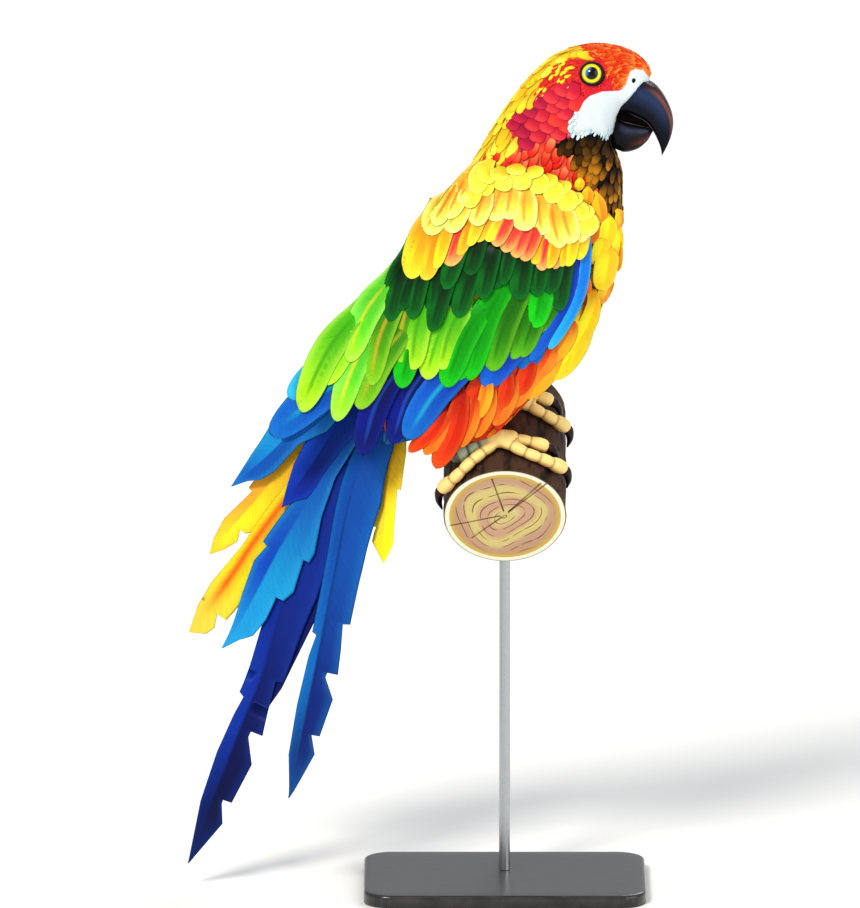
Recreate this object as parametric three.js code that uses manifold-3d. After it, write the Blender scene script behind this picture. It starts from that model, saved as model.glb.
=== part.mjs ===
// A large macaw perched on a short cut log, as a still, life-size display model on a stand.
// Millimetres, +Z up. The bird faces +X and its right side faces -Y. Every shape is laid out from the
// highest line of the log, under the middle of the bird, and the whole is then raised onto its stand.
import * as THREE from "three";
import { mergeVertices } from "three/addons/utils/BufferGeometryUtils.js";
import Module from "manifold-3d";

const wasm = await Module();
wasm.setup();

// ---------------------------------------------------------------- driving dimensions
const GAP = 0.3; // between pieces that touch
const TAIL_DROP = 414; // how far the tail tip hangs below the top of the log
const FLOOR_GAP = 22; // from the floor to the tail tip
const PERCH_HEIGHT = TAIL_DROP + FLOOR_GAP;

const LOG = { radius: 57, tilt: 30, near: -62, far: 80, sides: 40 };
const STAND = { length: 260, depth: 180, thick: 12, corner: 26, rodRadius: 5, rods: [16, 58], rodSides: 24 };
const EYE = { x: 78.7, z: 333.5, ball: 13, bulge: 3.6, rim: 10.4, rimRadius: 1.7 };
const NOSTRIL = { x: 116.4, z: 326, radius: 2.3 };
const VANE_THICK = 0.75;

// Profile stations of the body, from the forehead to the tail coverts: a point on the back line, a point on
// the breast line, both as [x, z], and the half width between them.
const BODY = [
  [[137.5, 328], [137.5, 328], 0],
  [[134, 337.5], [131.5, 319.5], 9],
  [[124, 348], [120.5, 312], 14],
  [[109.5, 355.5], [107.5, 298], 20],
  [[93, 359], [101, 272.5], 26],
  [[76.5, 359], [99, 261], 31],
  [[55, 353.5], [105.5, 250.5], 35],
  [[34, 341], [109, 237], 38],
  [[12, 317], [109.5, 220], 41],
  [[-9, 287], [108.5, 200], 44],
  [[-27, 256], [106, 177.5], 47],
  [[-46, 226], [103, 153], 51],
  [[-62, 198], [96.5, 127], 56],
  [[-75, 170], [87, 102.5], 59],
  [[-86, 141], [72, 77], 60],
  [[-94, 110], [50.5, 52], 57],
  [[-100, 80], [23, 28], 51],
  [[-105, 50], [-7, 4], 43],
  [[-108, 22], [-39, -20], 35],
  [[-113, -5], [-64, -34], 27],
  [[-123, -33], [-87, -42], 19],
  [[-136, -62], [-112, -66], 11],
  [[-130, -78], [-130, -78], 0],
];

// The same for the two folded wings over the body: the surface that their outer feathers lie on.
const FOLDED_WINGS = [
  [[-8, 276], [112, 228], 42],
  [[-20, 262], [110, 206], 54],
  [[-31, 248], [109, 182], 63],
  [[-50, 226], [107, 153], 69],
  [[-70, 199], [101, 125], 74],
  [[-89, 168], [90, 98], 76],
  [[-109, 134], [74, 70], 75],
  [[-133, 102], [51, 42], 70],
  [[-158, 70], [20, 14], 61],
  [[-182, 36], [-14, -14], 50],
  [[-206, 4], [-51, -41], 39],
  [[-230, -28], [-89, -71], 29],
  [[-252, -60], [-129, -99], 20],
  [[-272, -92], [-165, -130], 12],
];
const SECTION_POWER = 2.2; // 2 is an ellipse; more is squarer
const BILL_POWER = 3;

const HEAD_CUT = [[-6, 292], [112, 238]]; // the seams between head, neck, torso and tail, on the profile
const NECK_CUT = [[-56, 214], [112, 176]];
const TAIL_CUT = [[-125, -14], [-50, -42]];

// The bill: outer edge, inner edge and half width of each station.
const UPPER_BILL = [
  [[118, 331], [96, 294], 17],
  [[130.5, 323.5], [108.5, 296.5], 18.5],
  [[139, 317], [119, 292.5], 17.5],
  [[146.5, 307], [127, 288], 14.5],
  [[152, 295], [131, 283], 11.5],
  [[154, 284], [135.5, 276], 8.5],
  [[152.5, 272.5], [139.5, 267], 5.6],
  [[148.7, 262], [142.5, 259], 2.8],
  [[143.5, 252], [143.5, 252], 0],
];
const LOWER_BILL = [
  [[84, 292], [84, 262], 12],
  [[102, 290], [100, 259.5], 16],
  [[110.5, 286], [109.5, 256.5], 16],
  [[121.5, 283], [121.5, 259.5], 13.5],
  [[129.5, 280.5], [130, 266.5], 10],
  [[133.5, 278.5], [134, 273], 5],
  [[135.5, 275.5], [135.5, 275.5], 0],
];
const TONGUE = { from: [92, 287], to: [128, 285], half: 4, width: 9 };

// ---------------------------------------------------------------- small tools
const radians = THREE.MathUtils.degToRad;
const point = ([x, z], y = 0) => new THREE.Vector3(x, y, z);
const mix = THREE.MathUtils.lerp;

function seededRandom(seed) {
  let state = seed;
  return () => {
    state = (state * 1664525 + 1013904223) % 4294967296;
    return state / 4294967296;
  };
}

function solid(geometry) {
  const bare = geometry.clone();
  for (const name of Object.keys(bare.attributes)) if (name !== "position") bare.deleteAttribute(name);
  const merged = mergeVertices(bare, 1e-4);
  const triVerts = new Uint32Array(merged.index.array);
  const made = new wasm.Manifold(
    new wasm.Mesh({ numProp: 3, vertProperties: merged.attributes.position.array, triVerts }),
  );
  return made;
}

function geometryOf(manifold) {
  const { numProp, numVert, vertProperties, triVerts } = manifold.getMesh();
  const positions = new Float32Array(numVert * 3);
  for (let i = 0; i < numVert; i++) positions.set(vertProperties.subarray(i * numProp, i * numProp + 3), i * 3);
  const geometry = new THREE.BufferGeometry();
  geometry.setAttribute("position", new THREE.BufferAttribute(positions, 3));
  geometry.setIndex(new THREE.BufferAttribute(triVerts, 1));
  geometry.computeVertexNormals();
  return geometry;
}

// A copy of a smooth solid whose surface is moved out, to cut its neighbours clear of it.
function grown(manifold, distance = GAP) {
  const geometry = geometryOf(manifold);
  const { position, normal } = geometry.attributes;
  for (let i = 0; i < position.count; i++) {
    position.setXYZ(
      i,
      position.getX(i) + normal.getX(i) * distance,
      position.getY(i) + normal.getY(i) * distance,
      position.getZ(i) + normal.getZ(i) * distance,
    );
  }
  return solid(geometry);
}

const union = (pieces) => pieces.reduce((all, piece) => all.add(piece));

// The largest closed surface of a solid, so that a scrap left by a cut is dropped.
function largest(manifold) {
  return manifold.decompose().reduce((best, one) => (one.volume() > best.volume() ? one : best));
}

// A sphere's grid moved onto a surface: at(u, v) gives a point for u from pole to pole and v once round.
function skin(at, rows, segments) {
  const geometry = new THREE.SphereGeometry(1, segments, rows);
  const { position } = geometry.attributes;
  const columns = segments + 1;
  for (let i = 0; i < position.count; i++) {
    const row = Math.floor(i / columns);
    const column = i % columns;
    const p = at(row / rows, (column % segments) / segments);
    position.setXYZ(i, p.x, p.y, p.z);
  }
  const made = solid(geometry);
  return made.volume() < 0 ? solid(flipped(geometry)) : made;
}

function flipped(geometry) {
  const turned = geometry.clone();
  const index = turned.index.array;
  for (let i = 0; i < index.length; i += 3) [index[i + 1], index[i + 2]] = [index[i + 2], index[i + 1]];
  return turned;
}

// Everything on one side of a line drawn on the profile; side 1 is to the left of from -> to.
function halfSpace([from, to], side, gap = GAP / 2) {
  const a = point(from);
  const b = point(to);
  const along = b.clone().sub(a).normalize();
  const away = new THREE.Vector3(-along.z, 0, along.x).multiplyScalar(side);
  const size = 1600;
  const box = new THREE.BoxGeometry(size, size, size);
  const middle = a.clone().add(b).multiplyScalar(0.5).addScaledVector(away, size / 2 + gap);
  const across = new THREE.Vector3().crossVectors(away, along);
  box.applyMatrix4(new THREE.Matrix4().makeBasis(along, across, away).setPosition(middle));
  const made = solid(box);
  return made.volume() < 0 ? solid(flipped(box)) : made;
}

// A body of rounded sections between a back line and a front line.
class Loft {
  constructor(stations, power = SECTION_POWER) {
    this.back = new THREE.CatmullRomCurve3(stations.map(([back]) => point(back)), false, "centripetal");
    this.front = new THREE.CatmullRomCurve3(stations.map(([, front]) => point(front)), false, "centripetal");
    this.halves = stations.map(([, , half]) => half);
    this.power = power;
  }
  half(u) {
    const last = this.halves.length - 1;
    const place = Math.min(Math.max(u, 0), 1) * last;
    const i = Math.min(Math.floor(place), last - 1);
    return mix(this.halves[i], this.halves[i + 1], place - i);
  }
  at(u, v) {
    const back = this.back.getPoint(u);
    const front = this.front.getPoint(u);
    const turn = v * Math.PI * 2;
    const round = (x) => Math.sign(x) * Math.abs(x) ** (2 / this.power);
    const p = back.clone().add(front).multiplyScalar(0.5);
    if (u === 0 || u === 1) return p; // an end closes on its middle
    p.addScaledVector(back.sub(front), round(Math.cos(turn)) / 2);
    p.y = this.half(u) * round(Math.sin(turn));
    return p;
  }
  solid(rows, segments) {
    return skin((u, v) => this.at(u, v), rows, segments);
  }
  // The half width of the surface over the profile point x, z.
  depth(x, z) {
    const offset = (u) => {
      const a = this.back.getPoint(u);
      const b = this.front.getPoint(u);
      return (b.x - a.x) * (z - a.z) - (b.z - a.z) * (x - a.x);
    };
    let low = 0;
    let high = 1;
    for (let i = 0; i < 22; i++) {
      const middle = (low + high) / 2;
      if (offset(middle) < 0) low = middle;
      else high = middle;
    }
    const a = this.back.getPoint(low);
    const b = this.front.getPoint(low);
    const reach = a.distanceTo(b) / 2;
    const along = ((x - (a.x + b.x) / 2) * (b.x - a.x) + (z - (a.z + b.z) / 2) * (b.z - a.z)) / (2 * reach * reach);
    const share = Math.min(Math.abs(along), 0.995);
    return this.half(low) * (1 - share ** this.power) ** (1 / this.power);
  }
}

// ---------------------------------------------------------------- feathers
// Outlines are rows of [place along, left share, right share] of the half width.
const ROUNDED = [
  [0, 0.5, 0.5],
  [0.3, 0.85, 0.85],
  [0.8, 0.95, 0.95],
  [0.94, 0.62, 0.62],
  [1, 0.16, 0.16],
];
const POINTED = [
  [0, 0.4, 0.4],
  [0.15, 0.6, 0.6],
  [0.35, 0.85, 0.9],
  [0.65, 0.9, 1],
  [0.86, 0.5, 0.62],
  [1, 0.06, 0.06],
];
// Long tail vanes, with the splits that wear opens along the webs.
const SPLIT = [
  [0, 0.4, 0.4],
  [0.25, 0.62, 0.95],
  [0.5, 0.6, 1.2],
  [0.56, 0.62, 1.2],
  [0.575, 0.4, 0.8],
  [0.69, 0.58, 1],
  [0.705, 0.58, 0.45],
  [0.78, 0.6, 1],
  [0.86, 0.55, 0.7],
  [0.87, 0.5, 0.4],
  [0.91, 0.42, 0.66],
  [1, 0.05, 0.05],
];
const NICKED = [
  [0, 0.4, 0.4],
  [0.3, 0.75, 0.85],
  [0.6, 0.85, 1],
  [0.76, 0.75, 0.95],
  [0.775, 0.7, 0.6],
  [0.9, 0.42, 0.72],
  [1, 0.05, 0.05],
];

// One vane along line(s), with out(s) its upper side, flat or with a keel. Both faces have the same triangles.
function vane(line, out, halfWidth, outline, options = {}) {
  const { tilt = 0, keel = 0, thick = VANE_THICK, extra = 0 } = options;
  const top = [];
  const bottom = [];
  for (const [s, left, right] of outline) {
    const ahead = line(Math.min(s + 0.02, 1)).sub(line(Math.max(s - 0.02, 0))).normalize();
    const centre = line(s).addScaledVector(ahead, s === 1 ? extra * 4 : 0);
    const up = out(s);
    up.addScaledVector(ahead, -up.dot(ahead)).normalize();
    const side = new THREE.Vector3().crossVectors(up, ahead);
    const thin = thick * mix(1, 0.6, s);
    for (const share of keel ? [-left, 0, right] : [-left, right]) {
      const drop = tilt * share - keel * Math.abs(share);
      const reach = share * halfWidth + Math.sign(share) * extra * 2;
      const p = centre.clone().addScaledVector(side, reach).addScaledVector(up, drop + extra);
      top.push(p);
      bottom.push(p.clone().addScaledVector(up, -thin - extra * 2));
    }
  }
  const columns = keel ? 3 : 2;
  const under = top.length;
  const faces = [];
  const quad = (a, b, c, d) => faces.push(a, b, c, a, c, d);
  for (let r = 0; r < outline.length - 1; r++) {
    for (let k = 0; k < columns - 1; k++) {
      const a = r * columns + k;
      const [b, c, d] = [a + 1, a + 1 + columns, a + columns];
      quad(a, b, c, d);
      faces.push(a + under, c + under, b + under, a + under, d + under, c + under);
    }
    const l = r * columns;
    const e = l + columns - 1;
    quad(l, l + columns, l + columns + under, l + under);
    quad(e, e + under, e + columns + under, e + columns);
  }
  const tip = (outline.length - 1) * columns;
  for (let k = 0; k < columns - 1; k++) {
    quad(k, k + under, k + 1 + under, k + 1);
    quad(tip + k, tip + k + 1, tip + k + 1 + under, tip + k + under);
  }
  const geometry = new THREE.BufferGeometry().setFromPoints([...top, ...bottom]);
  geometry.setIndex(faces);
  const made = solid(geometry);
  return made.volume() < 0 ? solid(flipped(geometry)) : made;
}

// ---------------------------------------------------------------- body
const body = new Loft(BODY);
const wholeBody = body.solid(32, 20);
const bodyClear = grown(wholeBody);

const headEnd = halfSpace(HEAD_CUT, 1);
const tailEnd = halfSpace(TAIL_CUT, -1);
const neckPiece = wholeBody.intersect(halfSpace(HEAD_CUT, -1)).intersect(halfSpace(NECK_CUT, 1));
const headCore = wholeBody.intersect(headEnd);

// ---------------------------------------------------------------- log and stand
const tilt = radians(LOG.tilt);
const logAlong = new THREE.Vector3(0, Math.cos(tilt), Math.sin(tilt));
const logUp = new THREE.Vector3(0, -Math.sin(tilt), Math.cos(tilt));
const logForward = new THREE.Vector3(1, 0, 0);

// A point by its place along the log, its angle from the top line towards +X, and its radius.
function onLog(along, degrees, radius) {
  const turn = radians(degrees);
  return logUp
    .clone()
    .multiplyScalar(radius * Math.cos(turn) - LOG.radius)
    .addScaledVector(logForward, radius * Math.sin(turn))
    .addScaledVector(logAlong, along);
}

function logSolid(extra = 0) {
  const geometry = new THREE.CylinderGeometry(
    LOG.radius + extra,
    LOG.radius + extra,
    LOG.far - LOG.near + extra * 2,
    LOG.sides,
  );
  const middle = onLog((LOG.far + LOG.near) / 2, 0, 0);
  const across = new THREE.Vector3().crossVectors(logUp, logAlong).negate();
  geometry.applyMatrix4(new THREE.Matrix4().makeBasis(across.negate(), logAlong, logUp).setPosition(middle));
  const made = solid(geometry);
  return made.volume() < 0 ? solid(flipped(geometry)) : made;
}
const log = logSolid();
const logClear = logSolid(GAP + 0.2);

function roundedPlate() {
  const { length, depth, corner, thick } = STAND;
  const shape = new THREE.Shape();
  const x = length / 2 - corner;
  const y = depth / 2 - corner;
  shape.absarc(x, y, corner, 0, Math.PI / 2);
  shape.absarc(-x, y, corner, Math.PI / 2, Math.PI);
  shape.absarc(-x, -y, corner, Math.PI, Math.PI * 1.5);
  shape.absarc(x, -y, corner, Math.PI * 1.5, Math.PI * 2);
  const plate = new THREE.ExtrudeGeometry(shape, { depth: thick, bevelEnabled: false, curveSegments: 8 });
  return solid(plate.translate(0, 0, -PERCH_HEIGHT));
}

function rod(y) {
  const foot = -PERCH_HEIGHT + STAND.thick + GAP;
  const top = 0;
  const geometry = new THREE.CylinderGeometry(STAND.rodRadius, STAND.rodRadius, top - foot, STAND.rodSides);
  geometry.rotateX(Math.PI / 2).translate(0, y, (top + foot) / 2);
  const pieces = solid(geometry).subtract(logClear).decompose();
  return pieces.reduce((low, one) => (one.boundingBox().min[2] < low.boundingBox().min[2] ? one : low));
}

// ---------------------------------------------------------------- head
const ball = (x, y, z, radius, segments = 14) =>
  solid(new THREE.SphereGeometry(radius, segments, Math.round(segments * 0.7)).translate(x, y, z));

const eyeSurface = body.depth(EYE.x, EYE.z);
const eyeInset = eyeSurface + EYE.bulge - EYE.ball;

function eyeRim(side) {
  const torus = new THREE.TorusGeometry(EYE.rim, EYE.rimRadius, 5, 20);
  torus.rotateX(Math.PI / 2).translate(EYE.x, side * (eyeSurface + 0.1), EYE.z);
  return solid(torus);
}

let head = union([headCore, eyeRim(-1), eyeRim(1)]);
for (const side of [-1, 1]) {
  head = head.subtract(ball(EYE.x, side * eyeInset, EYE.z, EYE.ball + GAP, 14));
  const wall = body.depth(NOSTRIL.x, NOSTRIL.z);
  head = head.subtract(ball(NOSTRIL.x, side * (wall + 0.6), NOSTRIL.z, NOSTRIL.radius, 8));
}
head = largest(head);

const upperBillLoft = new Loft(UPPER_BILL, BILL_POWER).solid(16, 12);
const upperBill = largest(upperBillLoft.subtract(bodyClear));
const tongueStations = [0, 0.12, 0.5, 0.85, 1].map((s) => {
  const x = mix(TONGUE.from[0], TONGUE.to[0], s);
  const z = mix(TONGUE.from[1], TONGUE.to[1], s);
  const share = Math.sqrt(Math.max(0, 1 - (2 * s - 1) ** 2));
  return [[x, z + TONGUE.half * share], [x, z - TONGUE.half * share], TONGUE.width * share];
});
const tongueLoft = new Loft(tongueStations).solid(8, 10);
const tongue = largest(tongueLoft.subtract(bodyClear).subtract(grown(upperBillLoft)));
const lowerBill = largest(
  new Loft(LOWER_BILL, BILL_POWER)
    .solid(12, 12)
    .subtract(bodyClear)
    .subtract(grown(upperBillLoft))
    .subtract(grown(tongueLoft)),
);

// ---------------------------------------------------------------- tail
const TAIL_ROOT = [-96, -20];
const TAIL_ROLL = 60; // the fan's upper side is turned this far towards -Y
// Each long feather: its root, middle and tip on the profile, half width, level in the stack and outline.
const TAIL_FEATHERS = [
  ["centre", [-102, -18], [-198, -174], [-292, -414], 23, 0, SPLIT],
  ["second", [-92, -18], [-152, -146], [-199, -348], 21, 1, SPLIT],
  ["left_inner", [-108, -16], [-194, -102], [-261, -209], 21, 2, NICKED],
  ["left_middle", [-110, -14], [-214, -94], [-292, -195], 20, -1, NICKED],
  ["left_outer", [-112, -10], [-209, -54], [-274, -121], 19, -2, NICKED],
  ["under_centre", [-100, -20], [-176, -150], [-244, -296], 18, -1, POINTED],
  ["right_inner", [-92, -22], [-140, -128], [-184, -262], 17, -2, POINTED],
  ["right_outer", [-92, -24], [-112, -72], [-114, -129], 12, -3, POINTED],
];
const LEVEL = 1.7; // from one vane of the stack to the next

const tailAim = point([-293, -414]).sub(point(TAIL_ROOT)).normalize();
const tailBack = new THREE.Vector3(tailAim.z, 0, -tailAim.x);
const tailUp = tailBack.clone().applyAxisAngle(tailAim, -radians(TAIL_ROLL));
const tailSide = new THREE.Vector3().crossVectors(tailUp, tailAim);

// Where the fan's plane lies over a profile point.
function onFan([x, z], level) {
  const p = point([x, z]).sub(point(TAIL_ROOT));
  p.y = -(p.x * tailUp.x + p.z * tailUp.z) / tailUp.y;
  return p.add(point(TAIL_ROOT)).addScaledVector(tailUp, level * LEVEL);
}

function tailVane([, root, middle, tip, half, level, outline], extra = 0) {
  const path = new THREE.CatmullRomCurve3([onFan(root, level * 0.6), onFan(middle, level), onFan(tip, level)]);
  const line = (s) => path.getPointAt(s);
  return vane(line, () => tailUp.clone(), half, outline, { keel: 2, thick: 1, extra });
}

const tailCoverts = wholeBody.intersect(tailEnd);
const tail = largest(union([tailCoverts, ...TAIL_FEATHERS.map((one) => tailVane(one))]).intersect(tailEnd));
const tailClear = union(TAIL_FEATHERS.map((one) => tailVane(one, GAP)));

// ---------------------------------------------------------------- wings
const wings = new Loft(FOLDED_WINGS);
const WING_PAD = 5; // how far the fleshy wing lies under the feathers' surface
const WING_ROOT = -9; // how deep every feather of the wing is rooted
const WING_PAD_OUTLINE = [
  [78, 222], [84, 190], [72, 158], [52, 112], [22, 78], [-14, 52], [-52, 38], [-88, 30], [-116, 48], [-128, 84],
  [-114, 130], [-98, 160], [-72, 194], [-44, 226], [-14, 250], [20, 258], [52, 250],
];
// Rows of feathers from the tail end of the wing to the shoulder. roots and tips are lines on the profile,
// from the back to the leading edge; lift is a height over the wing's surface. A vane's tilt lays its edge over
// its neighbour's.
const TIERS = [
  {
    name: "primaries", outline: POINTED, half: 16, lift: -3.2, count: 4, tilt: 1.1,
    roots: [[-100, 100], [-84, 88], [-66, 80], [-50, 66]],
    tips: [[-199, 28], [-250, -55], [-228, -64], [-204, -72]],
  },
  {
    name: "blue_secondaries", outline: ROUNDED, half: 15, lift: -1, count: 5, tilt: 1.1,
    roots: [[-72, 96], [-40, 100], [10, 110], [44, 130]],
    tips: [[-131, -20], [-88, -4], [-20, 50], [17, 63]],
  },
  {
    name: "green_secondaries", outline: ROUNDED, half: 15, lift: 1.4, count: 8, tilt: 1.1,
    roots: [[-101, 142], [-88, 136], [-62, 138], [-34, 142], [0, 146], [30, 142], [52, 140]],
    tips: [[-187, 22], [-157, 13], [-124, 42], [-88, 58], [-54, 52], [-13, 66], [24, 98]],
  },
  {
    name: "leading_edge", outline: ROUNDED, half: 7, lift: 1.8, count: 1, tilt: 0.5,
    roots: [[72, 186], [64, 180]],
    tips: [[40, 86], [28, 84]],
  },
  {
    name: "green_coverts", outline: ROUNDED, half: 13, lift: 3.9, count: 8, tilt: 1.1,
    roots: [[-80, 172], [-44, 178], [-12, 182], [30, 178], [64, 172]],
    tips: [[-108, 106], [-68, 104], [-40, 120], [-8, 142], [28, 134], [50, 122]],
  },
  {
    name: "yellow_coverts", outline: ROUNDED, half: 13, lift: 6.4, count: 8, tilt: 1.1,
    roots: [[-60, 200], [-32, 208], [0, 212], [34, 208], [68, 198]],
    tips: [[-90, 144], [-52, 163], [-16, 184], [28, 165], [66, 165]],
  },
  {
    name: "shoulder_coverts", outline: ROUNDED, half: 14, lift: 8.8, count: 7, tilt: 1.1,
    roots: [[-30, 234], [-10, 244], [14, 249], [38, 244], [66, 230]],
    tips: [[-64, 184], [-28, 197], [0, 203], [34, 188], [70, 182]],
  },
];

const surfacePoint = (x, z, lift) => {
  const step = 1.5;
  const y = -wings.depth(x, z);
  const slopeX = (-wings.depth(x + step, z) + wings.depth(x - step, z)) / (2 * step);
  const slopeZ = (-wings.depth(x, z + step) + wings.depth(x, z - step)) / (2 * step);
  const out = new THREE.Vector3(slopeX, -1, slopeZ).normalize();
  return { place: new THREE.Vector3(x, y, z).addScaledVector(out, lift), out };
};

function tierVanes(tier, random) {
  const curve = (points) => new THREE.CatmullRomCurve3(points.map((p) => point(p)), false, "centripetal");
  const roots = curve(tier.roots);
  const tips = curve(tier.tips);
  return Array.from({ length: tier.count }, (_, i) => {
    const t = tier.count > 1 ? i / (tier.count - 1) : 0.5;
    const from = roots.getPoint(t);
    const to = tips.getPoint(t);
    to.lerp(from, (random() - 0.5) * 0.08);
    const at = (s) => {
      const rise = 1 - (1 - Math.min(s / 0.25, 1)) ** 2;
      return surfacePoint(mix(from.x, to.x, s), mix(from.z, to.z, s), mix(WING_ROOT, tier.lift, rise));
    };
    return vane((s) => at(s).place, (s) => at(s).out, tier.half, tier.outline, { tilt: tier.tilt });
  });
}

function wingPad() {
  const shape = new THREE.Shape(WING_PAD_OUTLINE.map(([x, z]) => new THREE.Vector2(x, z)));
  const prism = new THREE.ExtrudeGeometry(shape, { depth: 120, bevelEnabled: false });
  prism.rotateX(Math.PI / 2).translate(0, 0, 0);
  return grown(wings.solid(12, 14), -WING_PAD).intersect(solid(prism));
}

function nearWing() {
  const random = seededRandom(7);
  const pieces = [wingPad(), ...TIERS.flatMap((tier) => tierVanes(tier, random))];
  const side = new THREE.BoxGeometry(1600, 400, 1600).translate(0, -200.6, 0);
  return union(pieces).intersect(solid(side));
}

const wing = nearWing();
const LEFT_WING_SET = [9, 0, -7]; // the left wing lies a little lower on the back
const mirrored = (manifold) => {
  const geometry = geometryOf(manifold).scale(1, -1, 1).translate(...LEFT_WING_SET);
  return solid(flipped(geometry));
};

// ---------------------------------------------------------------- legs
// A tube through points with a radius at each.
function limb(points, radii, rows, segments, extra = 0) {
  const path = new THREE.CatmullRomCurve3(points, false, "centripetal");
  const first = new THREE.Vector3(0, 1, 0);
  const at = (u, v) => {
    const centre = path.getPoint(u);
    const ahead = path.getTangent(u);
    const side = new THREE.Vector3().crossVectors(ahead, first).normalize();
    const up = new THREE.Vector3().crossVectors(side, ahead);
    const place = u * (radii.length - 1);
    const i = Math.min(Math.floor(place), radii.length - 2);
    const cap = Math.min(1, Math.sqrt(Math.min(u, 1 - u) * rows * 0.6));
    const radius = (mix(radii[i], radii[i + 1], place - i) + extra) * cap;
    centre.addScaledVector(ahead, extra * (2 * u - 1));
    const turn = v * Math.PI * 2;
    return centre.addScaledVector(side, radius * Math.cos(turn)).addScaledVector(up, radius * Math.sin(turn));
  };
  return skin(at, rows, segments);
}

const TOE = 6.9; // radius of a toe at its root
// Each toe: places along the log and degrees round it, from the foot's middle out; then its claw's bend.
const FEET = {
  right: {
    along: -27.5,
    turn: -4,
    heel: [-40, -26, -20],
    toes: {
      outer: [[0, 0], [-13, 20], [-14, 38], [-9, 58]],
      inner: [[1, 2], [3, 20], [3, 37]],
      back_outer: [[-4, -6], [-20, -26], [-28, -42], [-28, -58]],
      back_inner: [[3, -6], [12, -26], [16, -46]],
    },
  },
  left: {
    along: 27.5,
    turn: 10,
    heel: [-26, 27, 21],
    toes: {
      outer: [[0, 0], [-5, 16], [-6, 30], [-2, 49]],
      inner: [[3, 0], [12, 14], [15, 28]],
      back_outer: [[-4, -8], [-10, -28], [-12, -50]],
      back_inner: [[4, -6], [14, -28], [18, -52]],
    },
  },
};

function footSolids(foot, extra = 0) {
  const place = ([along, turn], radius) => onLog(foot.along + along, foot.turn + turn, LOG.radius + radius);
  const palm = limb(
    [place([-1, -9], TOE), place([0, 0], TOE + 1), place([1, 9], TOE)],
    [7.5, 9, 7.5],
    6,
    9,
    extra,
  );
  const toes = {};
  const claws = {};
  for (const [name, steps] of Object.entries(foot.toes)) {
    const count = steps.length;
    const points = steps.map((step, i) => place(step, mix(TOE + 0.6, TOE - 0.4, i / (count - 1))));
    const bulges = Array.from({ length: 9 }, (_, i) => TOE * (i % 2 ? 0.9 : 1.04) * mix(1, 0.9, i / 8));
    toes[name] = limb(points, bulges, 10, 7, extra);
    const [endAlong, endTurn] = steps[count - 1];
    const [lastAlong, lastTurn] = steps[count - 2];
    const on = Math.sign(endTurn - lastTurn);
    const drift = (endAlong - lastAlong) / Math.abs(endTurn - lastTurn);
    const claw = [[0, 0], [7, 1], [16, -1.4], [25, -5.4]].map(([step, lift]) =>
      place([endAlong + drift * step * 0.3, endTurn + on * step], TOE - 0.6 + lift),
    );
    claws[name] = limb(claw, [5.2, 4.6, 3, 0.8], 7, 6, extra);
  }
  return { palm, toes, claws };
}

const legs = {};
const legsClear = { right: [], left: [] };
for (const [side, foot] of Object.entries(FEET)) {
  const sign = side === "right" ? -1 : 1;
  const { palm, toes, claws } = footSolids(foot);
  const grownFoot = footSolids(foot, GAP);
  const footClear = union([grownFoot.palm, ...Object.values(grownFoot.toes)]);
  for (const name of Object.keys(claws)) {
    claws[name] = largest(claws[name].subtract(footClear).subtract(logClear));
  }
  const [heelX, heelY, heelZ] = foot.heel;
  const hock = new THREE.Vector3(heelX, heelY, heelZ);
  const ankle = onLog(foot.along, foot.turn, LOG.radius + TOE + 3);
  const hip = new THREE.Vector3(4, sign * 26, 46);
  const shank = (extra) => limb([hock, hock.clone().lerp(ankle, 0.5), ankle], [7.2, 6.4, 6.8], 6, 9, extra);
  const thigh = (extra) => limb([hip, hip.clone().lerp(hock, 0.55), hock], [28, 23, 10], 10, 12, extra);
  const lowerLeg = shank(0).subtract(footClear).subtract(logClear).subtract(bodyClear);
  const upperLeg = thigh(0).subtract(bodyClear).subtract(shank(GAP)).subtract(footClear).subtract(logClear);
  const footSolid = union([palm, ...Object.values(toes)]).subtract(logClear);
  legs[side] = { foot: largest(footSolid), shank: largest(lowerLeg), thigh: largest(upperLeg), claws };
  legsClear[side] = [footClear, shank(GAP), thigh(GAP), ...Object.values(grownFoot.claws)];
}

const clearOfRest = (side) =>
  (side === "right" ? wing : mirrored(wing))
    .subtract(bodyClear)
    .subtract(tailClear)
    .subtract(logClear)
    .subtract(union(legsClear[side]));
const wingRight = largest(clearOfRest("right"));
const wingLeft = largest(clearOfRest("left"));
const feetClear = union(Object.values(legsClear).flatMap((pieces) => [pieces[0], ...pieces.slice(3)]));
const torsoCore = wholeBody.intersect(halfSpace(NECK_CUT, -1)).intersect(halfSpace(TAIL_CUT, 1));
const torso = largest(torsoCore.subtract(logClear).subtract(feetClear));

// ---------------------------------------------------------------- materials and scene
const paint = (color, roughness = 0.7, metalness = 0) =>
  new THREE.MeshStandardMaterial({ color, roughness, metalness });
const LOOKS = {
  headFeathers: paint("#d8452a", 0.75),
  neckFeathers: paint("#e3a423", 0.75),
  bodyFeathers: paint("#efc81e", 0.75),
  wingFeathers: paint("#1f9b2c", 0.65),
  tailFeathers: paint("#12479c", 0.6),
  thighFeathers: paint("#e0561d", 0.75),
  bill: paint("#15141c", 0.3),
  tongue: paint("#17110f", 0.5),
  eye: paint("#e6e01c", 0.15),
  foot: paint("#e6cf92", 0.6),
  claw: paint("#1a1216", 0.35),
  wood: paint("#4b2f26", 0.85),
  plate: paint("#3a3c40", 0.45),
  rod: paint("#b9bbbe", 0.3, 1),
};

const perchedMacaw = new THREE.Group();
perchedMacaw.position.z = PERCH_HEIGHT;
function show(name, manifold, material) {
  const mesh = new THREE.Mesh(geometryOf(manifold), material);
  mesh.name = name;
  perchedMacaw.add(mesh);
}

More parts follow.
